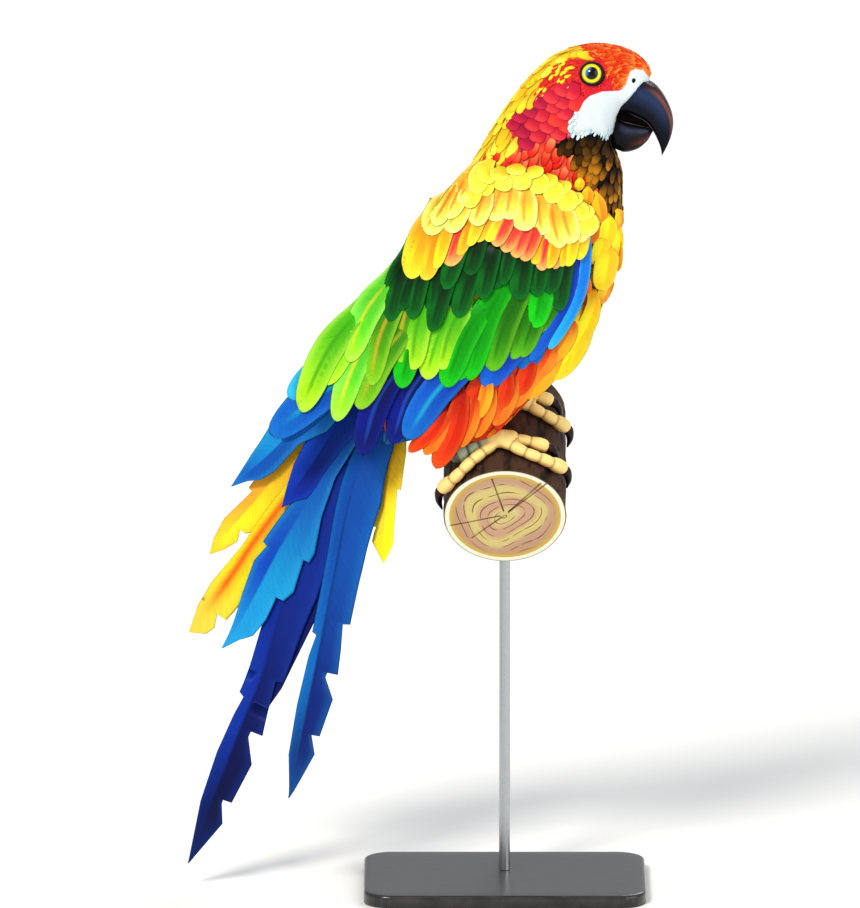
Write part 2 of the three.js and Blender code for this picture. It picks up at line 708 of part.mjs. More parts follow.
show("head", head, LOOKS.headFeathers);
show("neck", neckPiece, LOOKS.neckFeathers);
show("torso", torso, LOOKS.bodyFeathers);
show("bill_upper", upperBill, LOOKS.bill);
show("bill_lower", lowerBill, LOOKS.bill);
show("tongue", tongue, LOOKS.tongue);
show("eye_right", ball(EYE.x, -eyeInset, EYE.z, EYE.ball), LOOKS.eye);
show("eye_left", ball(EYE.x, eyeInset, EYE.z, EYE.ball), LOOKS.eye);
show("wing_right", wingRight, LOOKS.wingFeathers);
show("wing_left", wingLeft, LOOKS.wingFeathers);
show("tail", tail, LOOKS.tailFeathers);
for (const [side, leg] of Object.entries(legs)) {
  show(`thigh_${side}`, leg.thigh, LOOKS.thighFeathers);
  show(`shank_${side}`, leg.shank, LOOKS.foot);
  show(`foot_${side}`, leg.foot, LOOKS.foot);
  for (const [name, claw] of Object.entries(leg.claws)) {
    show(`claw_${side}_${name}`, claw, LOOKS.claw);
  }
}
show("perch_log", log, LOOKS.wood);
show("stand_base", roundedPlate(), LOOKS.plate);
show("stand_rod_front", rod(STAND.rods[0]), LOOKS.rod);
show("stand_rod_back", rod(STAND.rods[1]), LOOKS.rod);

export default perchedMacaw;
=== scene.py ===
# %% [markdown]
# # A large macaw on a cut log, finished for display
#
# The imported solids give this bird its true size, its outline and its stand. This notebook dresses them:
# one skin under a coat of solid feathers, two folded wings, a long tail, a horn bill, wet eyes, scaly feet
# and a cut log. Each step says what the real piece is, how it could be made, and why this way was chosen.

import math

import bmesh
import bpy
import numpy as np
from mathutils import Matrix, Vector
from mathutils.bvhtree import BVHTree


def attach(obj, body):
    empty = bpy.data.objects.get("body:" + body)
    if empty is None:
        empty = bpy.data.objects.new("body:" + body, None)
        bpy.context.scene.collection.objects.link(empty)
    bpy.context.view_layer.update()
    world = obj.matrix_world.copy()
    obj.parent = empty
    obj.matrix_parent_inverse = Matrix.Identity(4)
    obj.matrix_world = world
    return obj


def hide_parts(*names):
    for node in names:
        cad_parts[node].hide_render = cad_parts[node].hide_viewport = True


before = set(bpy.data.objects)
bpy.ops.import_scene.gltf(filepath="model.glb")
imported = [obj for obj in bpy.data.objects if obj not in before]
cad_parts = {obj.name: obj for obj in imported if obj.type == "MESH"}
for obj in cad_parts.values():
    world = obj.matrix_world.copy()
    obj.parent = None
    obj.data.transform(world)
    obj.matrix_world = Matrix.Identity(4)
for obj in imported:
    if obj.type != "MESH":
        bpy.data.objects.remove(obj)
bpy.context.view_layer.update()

# %% [markdown]
# ## Measures, colours and nodes
#
# A carver measures a bird from its perch, so every place here is in millimetres from the log's top line
# under the bird: x points the way it faces, y to its left and z up. One function turns such places into the
# frame's metres. Colours are written as the hex values a painter would note, and turned linear once.

# %% Small tools for numbers
MM = 0.001
PERCH_HEIGHT = 436.0  # mm from the floor to the log's top line
RIGHT, LEFT = -1, 1
SIDES = ((RIGHT, "right"), (LEFT, "left"))


def placed(points):
    """Turns millimetres from the perch into metres in the frame."""
    return (np.asarray(points, float) + [0, 0, PERCH_HEIGHT]) * MM


def from_perch(points):
    """Turns metres in the frame into millimetres from the perch."""
    return np.asarray(points, float) / MM - [0, 0, PERCH_HEIGHT]


def linear(hex_colour):
    """A colour written as sRGB hex, in linear light."""
    values = np.array([int(hex_colour[i : i + 2], 16) for i in (1, 3, 5)]) / 255
    return np.where(values <= 0.04045, values / 12.92, ((values + 0.055) / 1.055) ** 2.4)


def mix(a, b, share):
    return a + (b - a) * share


def layered(base, *layers):
    """A colour for each place: a base under layers, each with its colour and its share of every place."""
    made = linear(base) if isinstance(base, str) else base
    for colour, share in layers:
        over = linear(colour) if isinstance(colour, str) else colour
        made = mix(made, over, np.asarray(share)[..., None])
    return made


def ease(value, low=0.0, high=1.0):
    """Rises smoothly from 0 at low to 1 at high."""
    share = np.clip((value - low) / (high - low), 0, 1)
    return share * share * (3 - 2 * share)


def between(value, a, b, c, d):
    """Rises from 0 at a to 1 at b, and falls back from c to d."""
    return ease(value, a, b) * (1 - ease(value, c, d))


def hill(value, middle, width):
    """A smooth hill, 1 high at its middle."""
    return np.exp(-(((value - middle) / width) ** 2))


def unit(vectors):
    """The same directions, each of length 1."""
    return vectors / np.maximum(np.linalg.norm(vectors, axis=-1, keepdims=True), 1e-6)


def around_circle(count):
    return np.linspace(0, 2 * math.pi, count, endpoint=False)


def spread(values, count):
    """Values given at even distances, read at that many even places."""
    return np.interp(np.linspace(0, 1, count), np.linspace(0, 1, len(values)), values)


def run_along(points):
    """How far along a line each of its points lies."""
    return np.append(0, np.cumsum(np.linalg.norm(np.diff(points, axis=0), axis=1)))


def smooth_line(points, places):
    """A curve through points, read at places from 0 to 1, or at that many even places."""
    points = np.asarray(points, float)
    places = np.linspace(0, 1, places) if isinstance(places, int) else np.asarray(places, float)
    if len(points) == 2:
        return mix(points[0], points[1], places[:, None])
    padded = np.vstack([2 * points[0] - points[1], points, 2 * points[-1] - points[-2]])
    place = np.clip(places, 0, 1) * (len(points) - 1)
    index = np.minimum(place.astype(int), len(points) - 2)
    t = (place - index)[:, None]
    before, a, b, after = (padded[index + k] for k in range(4))
    bend = (2 * before - 5 * a + 4 * b - after) * t**2 + (3 * a - before - 3 * b + after) * t**3
    return a + 0.5 * ((b - before) * t + bend)


# %% Small tools for nodes and meshes
def add_node(tree, kind, links=None, output=None, **settings):
    """Adds one node and returns an output, its first one if none is named. links gives each input a socket
    to read or a value, and the setting "stops" fills a colour ramp with places and colours."""
    node = tree.nodes.new(kind)
    for name, value in settings.items():
        if name == "stops":
            elements = node.color_ramp.elements
            while len(elements) < len(value):
                elements.new(0.5)
            for element, (place, colour) in zip(elements, value):
                element.position, element.color = place, (*linear(colour), 1)
        else:
            setattr(node, name, value)
    for name, source in (links or {}).items():
        if isinstance(source, bpy.types.NodeSocket):
            tree.links.new(source, node.inputs[name])
        else:
            node.inputs[name].default_value = source
    return node.outputs[output] if output else next((o for o in node.outputs if o.enabled), None)


def new_material(name, **settings):
    """A material with its Principled shader set from keywords, such as Roughness=0.5."""
    material = bpy.data.materials.new(name)
    material.use_nodes = True
    shader = material.node_tree.nodes["Principled BSDF"]
    for socket, value in settings.items():
        shader.inputs[socket.replace("_", " ")].default_value = value
    return material, material.node_tree, shader


def linked(thing, name):
    """Puts a mesh, lamp or camera into the scene, as an object of that name."""
    made = bpy.data.objects.new(name, thing)
    bpy.context.scene.collection.objects.link(made)
    return made


def mesh_object(name, vertices, faces, material=None):
    """A smooth-shaded mesh object, from places in metres."""
    mesh = bpy.data.meshes.new(name)
    mesh.from_pydata(np.asarray(vertices).tolist(), [], [list(map(int, f)) for f in faces])
    mesh.shade_smooth()
    if material:
        mesh.materials.append(material)
    return linked(mesh, name)


def put_attribute(mesh, name, values):
    """Writes one named attribute: a number or a vector for each vertex or, as "tint", a colour."""
    values = np.asarray(values, np.float32)
    kind, field = ("FLOAT", "value") if values.ndim == 1 else ("FLOAT_VECTOR", "vector")
    if name == "tint":
        kind, field = "FLOAT_COLOR", "color"
        values = np.concatenate([values, np.ones((len(values), 1), np.float32)], 1)
    attribute = mesh.attributes.get(name) or mesh.attributes.new(name, kind, "POINT")
    attribute.data.foreach_set(field, values.ravel())


def values_of(items, field, width):
    """One field of a mesh's vertices or of an attribute's data, with that many numbers a row."""
    values = np.zeros(len(items) * width, np.float32)
    items.foreach_get(field, values)
    return values.reshape(-1, width).astype(float) if width > 1 else values


def places_of(piece):
    """The places of a piece's vertices, in mm from the perch."""
    return from_perch(values_of(piece.data.vertices, "co", 3))


def finished(piece, slot, *replaced, tint=None):
    """Tints a piece, hangs it on the one body and hides the nodes that it stands for. Its slot is not used.
    """
    if tint is not None:
        tint = linear(tint) if isinstance(tint, str) else tint
        put_attribute(piece.data, "tint", np.broadcast_to(tint, (len(piece.data.vertices), 3)))
    if replaced:
        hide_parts(*replaced)
    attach(piece, "root")
    print(f"{piece.name}: {len(piece.data.polygons)} faces")


# %% [markdown]
# ## Camera, light and floor
#
# A long lens from far away keeps the bird's sides parallel, as a plate in a field guide does. It looks at
# the bird's right side and 12 degrees down. The light is a studio's: a large soft key high on the left, a
# weak fill from the right and one behind for the rims, over a pale floor that fills the background. They
# are far lamps with soft edges, so the floor is lit as evenly as a roll of studio paper.

# %% Camera
PICTURE = (860, 908)  # pixels
MM_PER_PIXEL = 0.92
CAMERA_DISTANCE = 16.0
CAMERA_DOWN = math.radians(12)
SENSOR = 36.0
CAMERA_AIM = Vector(placed([-69, 0, -27.4]))

camera_data = bpy.data.cameras.new("Camera")
camera = linked(camera_data, "Camera")
bpy.context.scene.camera = camera
camera_data.sensor_width = SENSOR
camera_data.lens = SENSOR * CAMERA_DISTANCE / (max(PICTURE) * MM_PER_PIXEL * MM)
camera_data.clip_start, camera_data.clip_end = 1.0, 200.0
back_to_camera = Vector((0, -math.cos(CAMERA_DOWN), math.sin(CAMERA_DOWN)))
camera.location = CAMERA_AIM + back_to_camera * CAMERA_DISTANCE
camera.rotation_euler = (math.pi / 2 - CAMERA_DOWN, 0, 0)
print("lens", round(camera_data.lens, 1), "mm, camera at", [round(v, 3) for v in camera.location])

# %% Light and floor
SUNS = [
    # direction it comes from, strength, softness in degrees, colour
    ("key", (-0.50, -0.85, 0.95), 1.8, 16, "#fff9f0"),
    ("fill", (1.00, -0.60, 0.40), 0.9, 50, "#f4f8ff"),
    ("rim", (0.35, 0.90, 0.75), 0.6, 30, "#ffffff"),
]
for name, place, strength, softness, colour in SUNS:
    lamp = bpy.data.lights.new(name, "SUN")
    lamp.energy, lamp.angle, lamp.color = strength, math.radians(softness), linear(colour)
    holder = linked(lamp, name)
    holder.location = Vector(placed([0, 0, 120])) + Vector(place) * 3
    holder.rotation_euler = (-Vector(place)).to_track_quat("-Z", "Y").to_euler()

world = bpy.data.worlds.new("Studio")
bpy.context.scene.world = world
world.use_nodes = True
world.node_tree.nodes["Background"].inputs["Color"].default_value = (*linear("#f1f4f8"), 1)
world.node_tree.nodes["Background"].inputs["Strength"].default_value = 0.5
bpy.context.scene.view_settings.view_transform = "Standard"
bpy.context.scene.view_settings.look = "Medium High Contrast"

FLOOR_REACH = 60.0
paper, _, _ = new_material("Pale studio paper", Base_Color=(*linear("#f1f1ef"), 1), Roughness=0.9)
floor_corners = [(x * FLOOR_REACH, y * FLOOR_REACH, 0) for x, y in ((-1, -1), (1, -1), (1, 1), (-1, 1))]
floor = mesh_object("floor", floor_corners, [(0, 1, 2, 3)], paper)

# %% [markdown]
# ## The finish of a feather
#
# A contour feather is keratin: a flat vane of barbs, which leave the shaft at about 45 degrees and lock
# together, so light slides along them in fine slanting streaks over a satin surface. An image could hold
# that, but a pattern that reads each feather's own measure stays sharp at any size. Each feather carries
# two attributes: "tint", its colour, and "vane", its place across and along the feather in millimetres.
# Real barbs are 0.3 mm apart, which is finer than a pixel here, so they are drawn as bundles.

# %% Feather material
def shaded(tree, tint, noise, least, most, reach=(0.0, 1.0)):
    """A tint that noise makes darker and lighter."""
    light = add_node(
        tree, "ShaderNodeMapRange",
        links={"Value": noise, "From Min": reach[0], "From Max": reach[1], "To Min": least, "To Max": most},
    )
    return add_node(tree, "ShaderNodeVectorMath", {0: tint, "Scale": light}, operation="SCALE")


def surfaced(tree, shader, colour, height, strength, depth):
    """Gives a shader its colour, and from a height a relief of that depth in mm."""
    tree.links.new(colour, shader.inputs["Base Color"])
    relief = {"Strength": strength, "Distance": depth * MM, "Height": height}
    tree.links.new(add_node(tree, "ShaderNodeBump", relief), shader.inputs["Normal"])


def feather_material(name, barb_bundle, contrast, **settings):
    """Keratin vanes whose barbs show in bundles of that many millimetres."""
    material, tree, shader = new_material(name, **settings)
    tint = add_node(tree, "ShaderNodeAttribute", attribute_name="tint")
    vane = add_node(tree, "ShaderNodeAttribute", output="Vector", attribute_name="vane")
    across, along, whim = add_node(tree, "ShaderNodeSeparateXYZ", {"Vector": vane}).node.outputs
    outward = add_node(tree, "ShaderNodeMath", {0: across}, operation="ABSOLUTE")
    # a barb is a line on which this value stays the same
    slant = add_node(tree, "ShaderNodeMath", {0: outward, 1: -1.15, 2: along}, operation="MULTIPLY_ADD")
    barb = add_node(tree, "ShaderNodeMath", {0: slant, 1: barb_bundle}, operation="DIVIDE")
    stretch = add_node(tree, "ShaderNodeMath", {0: across, 1: 0.09}, operation="MULTIPLY")
    place = add_node(tree, "ShaderNodeCombineXYZ", {"X": barb, "Y": stretch, "Z": whim})
    grain = {"Vector": place, "Scale": 1.0, "Detail": 3.0, "Roughness": 0.6}
    streaks = add_node(tree, "ShaderNodeTexNoise", grain, noise_dimensions="3D")
    colour = shaded(tree, tint, streaks, 1 - contrast, 1 + contrast, (0.3, 0.7))
    surfaced(tree, shader, colour, streaks, 0.35, 0.25)
    return material


# barbs scatter most of the light, so their gloss is far weaker than that of solid keratin
flight_finish = feather_material("Satin flight feather", 1.6, 0.10, Roughness=0.45, Specular_IOR_Level=0.22)
covert_finish = feather_material("Satin covert feather", 1.3, 0.07, Roughness=0.5, Specular_IOR_Level=0.18)
contour_finish = feather_material("Soft contour feather", 1.0, 0.07, Roughness=0.6, Specular_IOR_Level=0.15)
print("feather materials:", flight_finish.name, covert_finish.name, contour_finish.name)

# %% [markdown]
# ## How one large feather is made
#
# A wing or tail feather is one stiff vane with a shaft. It could be a flat card, but then its edge would
# vanish from some sides and its pattern would need an image. Here it is a closed lens of two faces that
# share one rim: a grid follows the feather's own line over whatever it lies on, the middle columns rise
# into the shaft, the edges bend down, and one edge is tilted over its neighbour. All vanes of a piece are
# collected and made one mesh, and in the map for baking each vane has a patch of its own, so that its
# long gradients keep their detail.

# %% The outline, line and height of a feather
def blunt(half, root=0.6, full=0.5):
    """Half width along a blunt feather: a narrow root, full at that share of its length, a round end."""

    def width(s):
        end = np.clip((s - full) / (1 - full), 0, 1)
        return half * (mix(root, 1, ease(s, 0, full)) * (1 - 0.985 * end**3.2) ** 0.5)

    return width


def feather_line(root, tip, bow=0.0):
    """A feather's shaft on the profile, bowed to one side by a share of its length."""
    root, tip = np.array(root, float), np.array(tip, float)
    way = tip - root
    middle = (root + tip) / 2 + np.array([way[1], -way[0]]) * bow
    return lambda s: smooth_line([root, middle, tip], s)


def rising(low, high, span, droop=0.0):
    """Height along a feather, which rises over a share of its length and droops at its tip."""
    return lambda s: mix(low, high, 1 - (1 - np.minimum(s / span, 1)) ** 2) - droop * s**3


def grid_faces(rows, columns, flip=False):
    """Quads of a closed vane, whose under grid shares the upper one's rim, and the column, row and layer
    of each corner."""
    upper = np.arange(rows * columns).reshape(rows, columns)
    under = upper.copy()
    inner = upper[1:-1, 1:-1]
    under[1:-1, 1:-1] = rows * columns + np.arange(inner.size).reshape(inner.shape)
    row, column = np.mgrid[: rows - 1, : columns - 1].reshape(2, -1, 1)
    across, down = np.array([(0, 0), (1, 0), (1, 1), (0, 1)]).T
    quads, corners = [], []
    for layer, grid in enumerate((upper, under)):
        ring = grid[row + down, column + across]
        place = np.stack([column + across, row + down, np.full(ring.shape, layer)], -1)
        turn = -1 if bool(layer) != flip else 1
        quads.append(ring[:, ::turn])
        corners.append(place[:, ::turn])
    return np.concatenate(quads), np.concatenate(corners)


# %% Large feathers
VANE_COLUMNS = np.array([[-1, -0.9, -0.55, -0.2, -0.045, 0.045, 0.2, 0.55, 0.9, 1]])


def coated(name, points, faces, material, tints, vanes, patches):
    """One mesh of many feathers, with the tint and vane of each vertex and their map for baking."""
    made = mesh_object(name, np.concatenate(points), np.concatenate(faces), material)
    put_attribute(made.data, "tint", np.concatenate(tints))
    put_attribute(made.data, "vane", np.concatenate(vanes))
    layer = made.data.uv_layers.new(name="OFBake")
    layer.data.foreach_set("uv", np.concatenate(patches).astype(np.float32).ravel())
    return made


class Feathers:
    """Collects large vanes and makes one mesh of them."""

    def __init__(self, seed):
        self.random = np.random.default_rng(seed)
        self.vanes = []

    def add(self, line, surface, webs, paint, rise, tilt, camber, shaft, thick, rows=18, stops=()):
        """One vane. line(s) is its shaft on the profile, surface(places, lift) lays profile places on the
        bird, webs are the half widths in mm of its two sides, and rise(s) is its height."""
        left, right = webs if isinstance(webs, tuple) else (webs, webs)
        s = np.unique(np.concatenate([1 - (1 - np.linspace(0, 1, rows)) ** 1.5, stops]))
        centre = line(s)
        ahead = unit(np.gradient(centre, axis=0))
        across = np.stack([-ahead[:, 1], ahead[:, 0]], 1)
        s, c = s[:, None], VANE_COLUMNS
        reach = np.where(c < 0, left(s), right(s)) * c
        ground = (centre[:, None] + across[:, None] * reach[..., None]).reshape(-1, 2)
        ridge = shaft * hill(c, 0, 0.09) * (1 - s * 0.7)
        height = rise(s) + tilt * c - camber * c**2 + ridge
        lens = thick * (1 - c**2) ** 0.5 * (1 - 0.4 * s)
        top, low = (surface(ground, h.ravel()).reshape(*reach.shape, 3) for h in (height, height - lens))
        whim = self.random.random()
        tint = paint(s + 0 * c, c + 0 * s, reach, whim)
        vane = np.stack([reach, s * run_along(centre)[-1] + 0 * reach, np.full(reach.shape, whim * 90)], -1)
        self.vanes.append((top, low[1:-1, 1:-1], tint, vane))

    def piece(self, name, material):
        """One mesh of all vanes, each with its own patch of the map for baking."""
        points, faces, tints, vanes, patches = [], [], [], [], []
        cells = math.ceil(math.sqrt(len(self.vanes)))
        for number, (top, low, tint, vane) in enumerate(self.vanes):
            rows, columns = top.shape[:2]
            r, c = rows // 2, columns // 2
            facing = np.cross(top[r, c + 1] - top[r, c], top[r + 1, c] - top[r, c])
            quads, corners = grid_faces(rows, columns, flip=facing @ (top[r, c] - low[r - 1, c - 1]) < 0)
            faces.append(quads + sum(map(len, points)))
            points += [placed(top.reshape(-1, 3)), placed(low.reshape(-1, 3))]
            # the under face carries the same tint, darker: painted shade under the vane
            tints += [tint.reshape(-1, 3), tint[1:-1, 1:-1].reshape(-1, 3) * 0.8]
            vanes += [vane.reshape(-1, 3), vane[1:-1, 1:-1].reshape(-1, 3)]
            u = corners[..., 0] / (columns - 1) * 0.46 + 0.01 + corners[..., 2] * 0.5
            v = corners[..., 1] / (rows - 1) * 0.96 + 0.02
            patches.append(np.stack([u + number % cells, v + number // cells], -1).reshape(-1, 2) / cells)
        return coated(name, points, faces, material, tints, vanes, patches)


def painted(colours, shaft_width=0.7, edge_share=0.5, turns=(0.35, 0.8)):
    """A feather's paint: the colours of its root, its two webs, its tip, its edge and the streak along its
    shaft, where a dash leaves one out, and where along it the webs' colours set in. A dark root stands
    partly for painted shade under the feather above, a web darker than the other is painted shade, as on a
    feather lit from one side, and an edge lighter than its web is a painted highlight."""
    root, left, right, *extra = colours.split()

    def tint(s, c, reach, whim):
        webs = layered(left, (right, ease(c, -0.05, 0.05)))
        shares = (
            ease(s, 0.62, 1.0),
            edge_share * np.maximum(ease(np.abs(c), 0.45, 1.0), ease(s, 0.86, 1.0)),
            hill(reach, 0, shaft_width) * between(s, 0.15, 0.4, 0.75, 0.95),
        )
        layers = [(colour, share) for colour, share in zip(extra, shares) if colour != "-"]
        return layered(root, (webs, ease(s, *turns)), *layers) * (0.92 + 0.16 * whim)

    return tint


# %% [markdown]
# ## The folded wings
#
# A folded wing is a stack of overlapping rows: small scales on the shoulder, two rows of pale yellow
# coverts, dark green ones, long lime and green secondaries, blue primaries below and a blue band along the
# leading edge. They all lie on one smooth form, so that form is drawn once, as stations of a back edge, a
# front edge and a half width, and every row is laid over it at its own height. A fleshy bed fills the form
# beneath. The left wing is the right one's mirror image, set a little lower on the back.

# %% A rounded form and the way a feather lies on it
SECTION_POWER = 2.2
STEPS = 280


class Form:
    """A rounded form between a back line and a front line on the profile."""

    def __init__(self, stations, power=SECTION_POWER, steps=STEPS):
        stations = np.array(stations, float)
        self.back, self.front = smooth_line(stations[:, :2], steps), smooth_line(stations[:, 2:4], steps)
        self.half = spread(stations[:, 4], steps)
        self.power = power

    def locate(self, ground):
        """The station of each profile place, as an index, and its share from back to front, -1 to 1."""
        reach = (self.front - self.back) / 2
        off = ground[:, None] - (self.front + self.back) / 2
        side = reach[:, 0] * off[..., 1] - reach[:, 1] * off[..., 0]
        along = np.abs((off * reach).sum(2)) / np.maximum((reach**2).sum(1), 1)
        # the lines fan out, so a place can lie between two pairs of them: the nearer pair is its own
        crossed = (side[:, :-1] <= 0) & (side[:, 1:] > 0)
        after = np.where(crossed, along[:, 1:], np.inf).argmin(1) + 1
        after = np.where(crossed.any(1), after, len(self.half) - 1)
        after = np.where(side[:, 0] > 0, 0, after)
        before = np.maximum(after - 1, 0)
        rows = np.arange(len(ground))
        gap = side[rows, after] - side[rows, before]
        t = np.clip(-side[rows, before] / np.where(np.abs(gap) < 1e-9, 1, gap), 0, 1)
        a = mix(self.back[before], self.back[after], t[:, None])
        b = mix(self.front[before], self.front[after], t[:, None])
        share = ((ground - (a + b) / 2) * (b - a) / 2).sum(1) / np.maximum((((b - a) / 2) ** 2).sum(1), 1)
        return before + t, share

    def depth(self, ground, limit=0.975):
        """Half width of the form over places on the profile."""
        station, share = self.locate(ground)
        half = np.interp(station, np.arange(len(self.half)), self.half)
        return half * (1 - np.minimum(np.abs(share), limit) ** self.power) ** (1 / self.power)

    def shell(self, rows, columns):
        """The whole closed form as a grid with a pole at each end."""
        index = np.linspace(0, 1, rows) * (len(self.half) - 1)
        low = np.minimum(index.astype(int), len(self.half) - 2)
        t = (index - low)[:, None]
        back, front, half = (
            mix(line[low], line[low + 1], t) for line in (self.back, self.front, self.half[:, None])
        )
        turn = around_circle(columns)
        out, wide = (np.sign(way) * np.abs(way) ** (2 / self.power) for way in (np.cos(turn), np.sin(turn)))
        profile = (back + front)[:, None] / 2 + (back - front)[:, None] / 2 * out[None, :, None]
        return np.stack([profile[..., 0], half * wide, profile[..., 1]], -1)


def on_form(form, side, step=1.5, outward=1.0, least=0.0, moved=0.0):
    """Lays profile places on one side of a form, at a height over it. step is how far to each side the
    slope is read, outward the share of a lift that moves a place on the profile, and least the smallest
    share that moves it sideways."""

    def lay(ground, lift):
        slope_x, slope_z = (
            (form.depth(ground + way) - form.depth(ground - way)) / (2 * step) for way in np.eye(2) * step
        )
        steep = np.sqrt(1 + slope_x**2 + slope_z**2)
        out = outward * lift / steep
        wide = np.maximum(form.depth(ground) + lift * np.maximum(1 / steep, least), 0.6)
        x, z = ground[:, 0] - slope_x * out, ground[:, 1] - slope_z * out
        return np.stack([x, side * wide, z], -1) + moved

    return lay


# %% The form of the folded wings
FOLDED_WINGS = [
    # back edge and front edge on the profile, and the half width between them
    (-8, 276, 112, 228, 42), (-20, 262, 110, 206, 54), (-31, 248, 109, 182, 63), (-50, 226, 107, 153, 69),
    (-70, 199, 101, 125, 74), (-89, 168, 90, 98, 76), (-109, 134, 74, 70, 75), (-133, 102, 51, 42, 70),
    (-158, 70, 20, 14, 61), (-182, 36, -14, -14, 50), (-206, 4, -51, -41, 39), (-230, -28, -89, -71, 29),
    (-252, -60, -129, -99, 20), (-272, -92, -165, -130, 12),
]
LEFT_WING_SET = np.array([9, 0, -7])
wing_form = Form(FOLDED_WINGS)


def on_wing(side):
    """Lays feathers on a folded wing, whose slope is read widely, to stay smooth round its edge."""
    return on_form(wing_form, side, 5.0, 0.5, 0.6, LEFT_WING_SET if side == LEFT else 0)


# %% The rows of a wing, from the flight feathers up to the shoulder
# the paints' dark roots stand partly for painted shade under the row above, and a darker web for painted
# shade
PALE = painted("#e9b32c #eeee62 #e6e04a #f3f77c #fbffa8 #e2762c", shaft_width=0.8)
LEMON = painted("#e8d034 #f0e648 #ecdc38 #f4ec5c #f9f47c", edge_share=0.35, turns=(0.2, 0.7))
SUNNY = painted("#e9a41e #f1e62c #eec21e #f4ea30 #f8f060", edge_share=0.35)
GOLDEN = painted("#dd8f16 #f0d52c #e8a21c #f0c428 #f8e860", edge_share=0.35)
SALMON = painted("#de3f34 #f0905a #e8603c #f2a862 #f6cf6c #d63a3a", shaft_width=1.3)
DARK_GREEN = painted("#022a06 #07701c #044a0e #065a18 #0c8434 #062e22", shaft_width=0.6)
DEEP_GREEN = painted("#022606 #065e14 #033e0a #055014 #0a7a34 #05281e", shaft_width=0.6)
LIME = painted("#4fb414 #9be22a #7fd01a #b2e61c #c4f25a #3f9a12", shaft_width=0.9)
MINT = painted("#58c430 #86f056 #62dc2c #a8f02a #bdf870 #e2d83a", shaft_width=1.0)
OLIVE = painted("#3c8a10 #6cb81c #57a60c #7cc21a #a4dc3c #c8a832", shaft_width=1.0)
BRIGHT = painted("#08960c #12c812 #0b9a0e #10c014 #34dc2a #0a7a0c", shaft_width=0.7)
MOSS = painted("#1f6a06 #3f9a10 #2c8208 #58b414 #7ccc2c #1c6a06", shaft_width=0.8)
NAVY = painted("#030f5c #061890 #040f70 #061668 #0a2aa0 #1c54b4", shaft_width=0.9)
AZURE = painted("#0a44b4 #1262c8 #0f58bc #126cc8 #1f84d4 #1fa4cc", shaft_width=1.9)
ROYAL = painted("#0a3ab0 #1256cc #0e4cbc #1668d4 #2f86e4", edge_share=0.4)
CYAN = painted("#1478d8 #18a4e4 #1694dc #24b0e8 #58ccf2", edge_share=0.4)

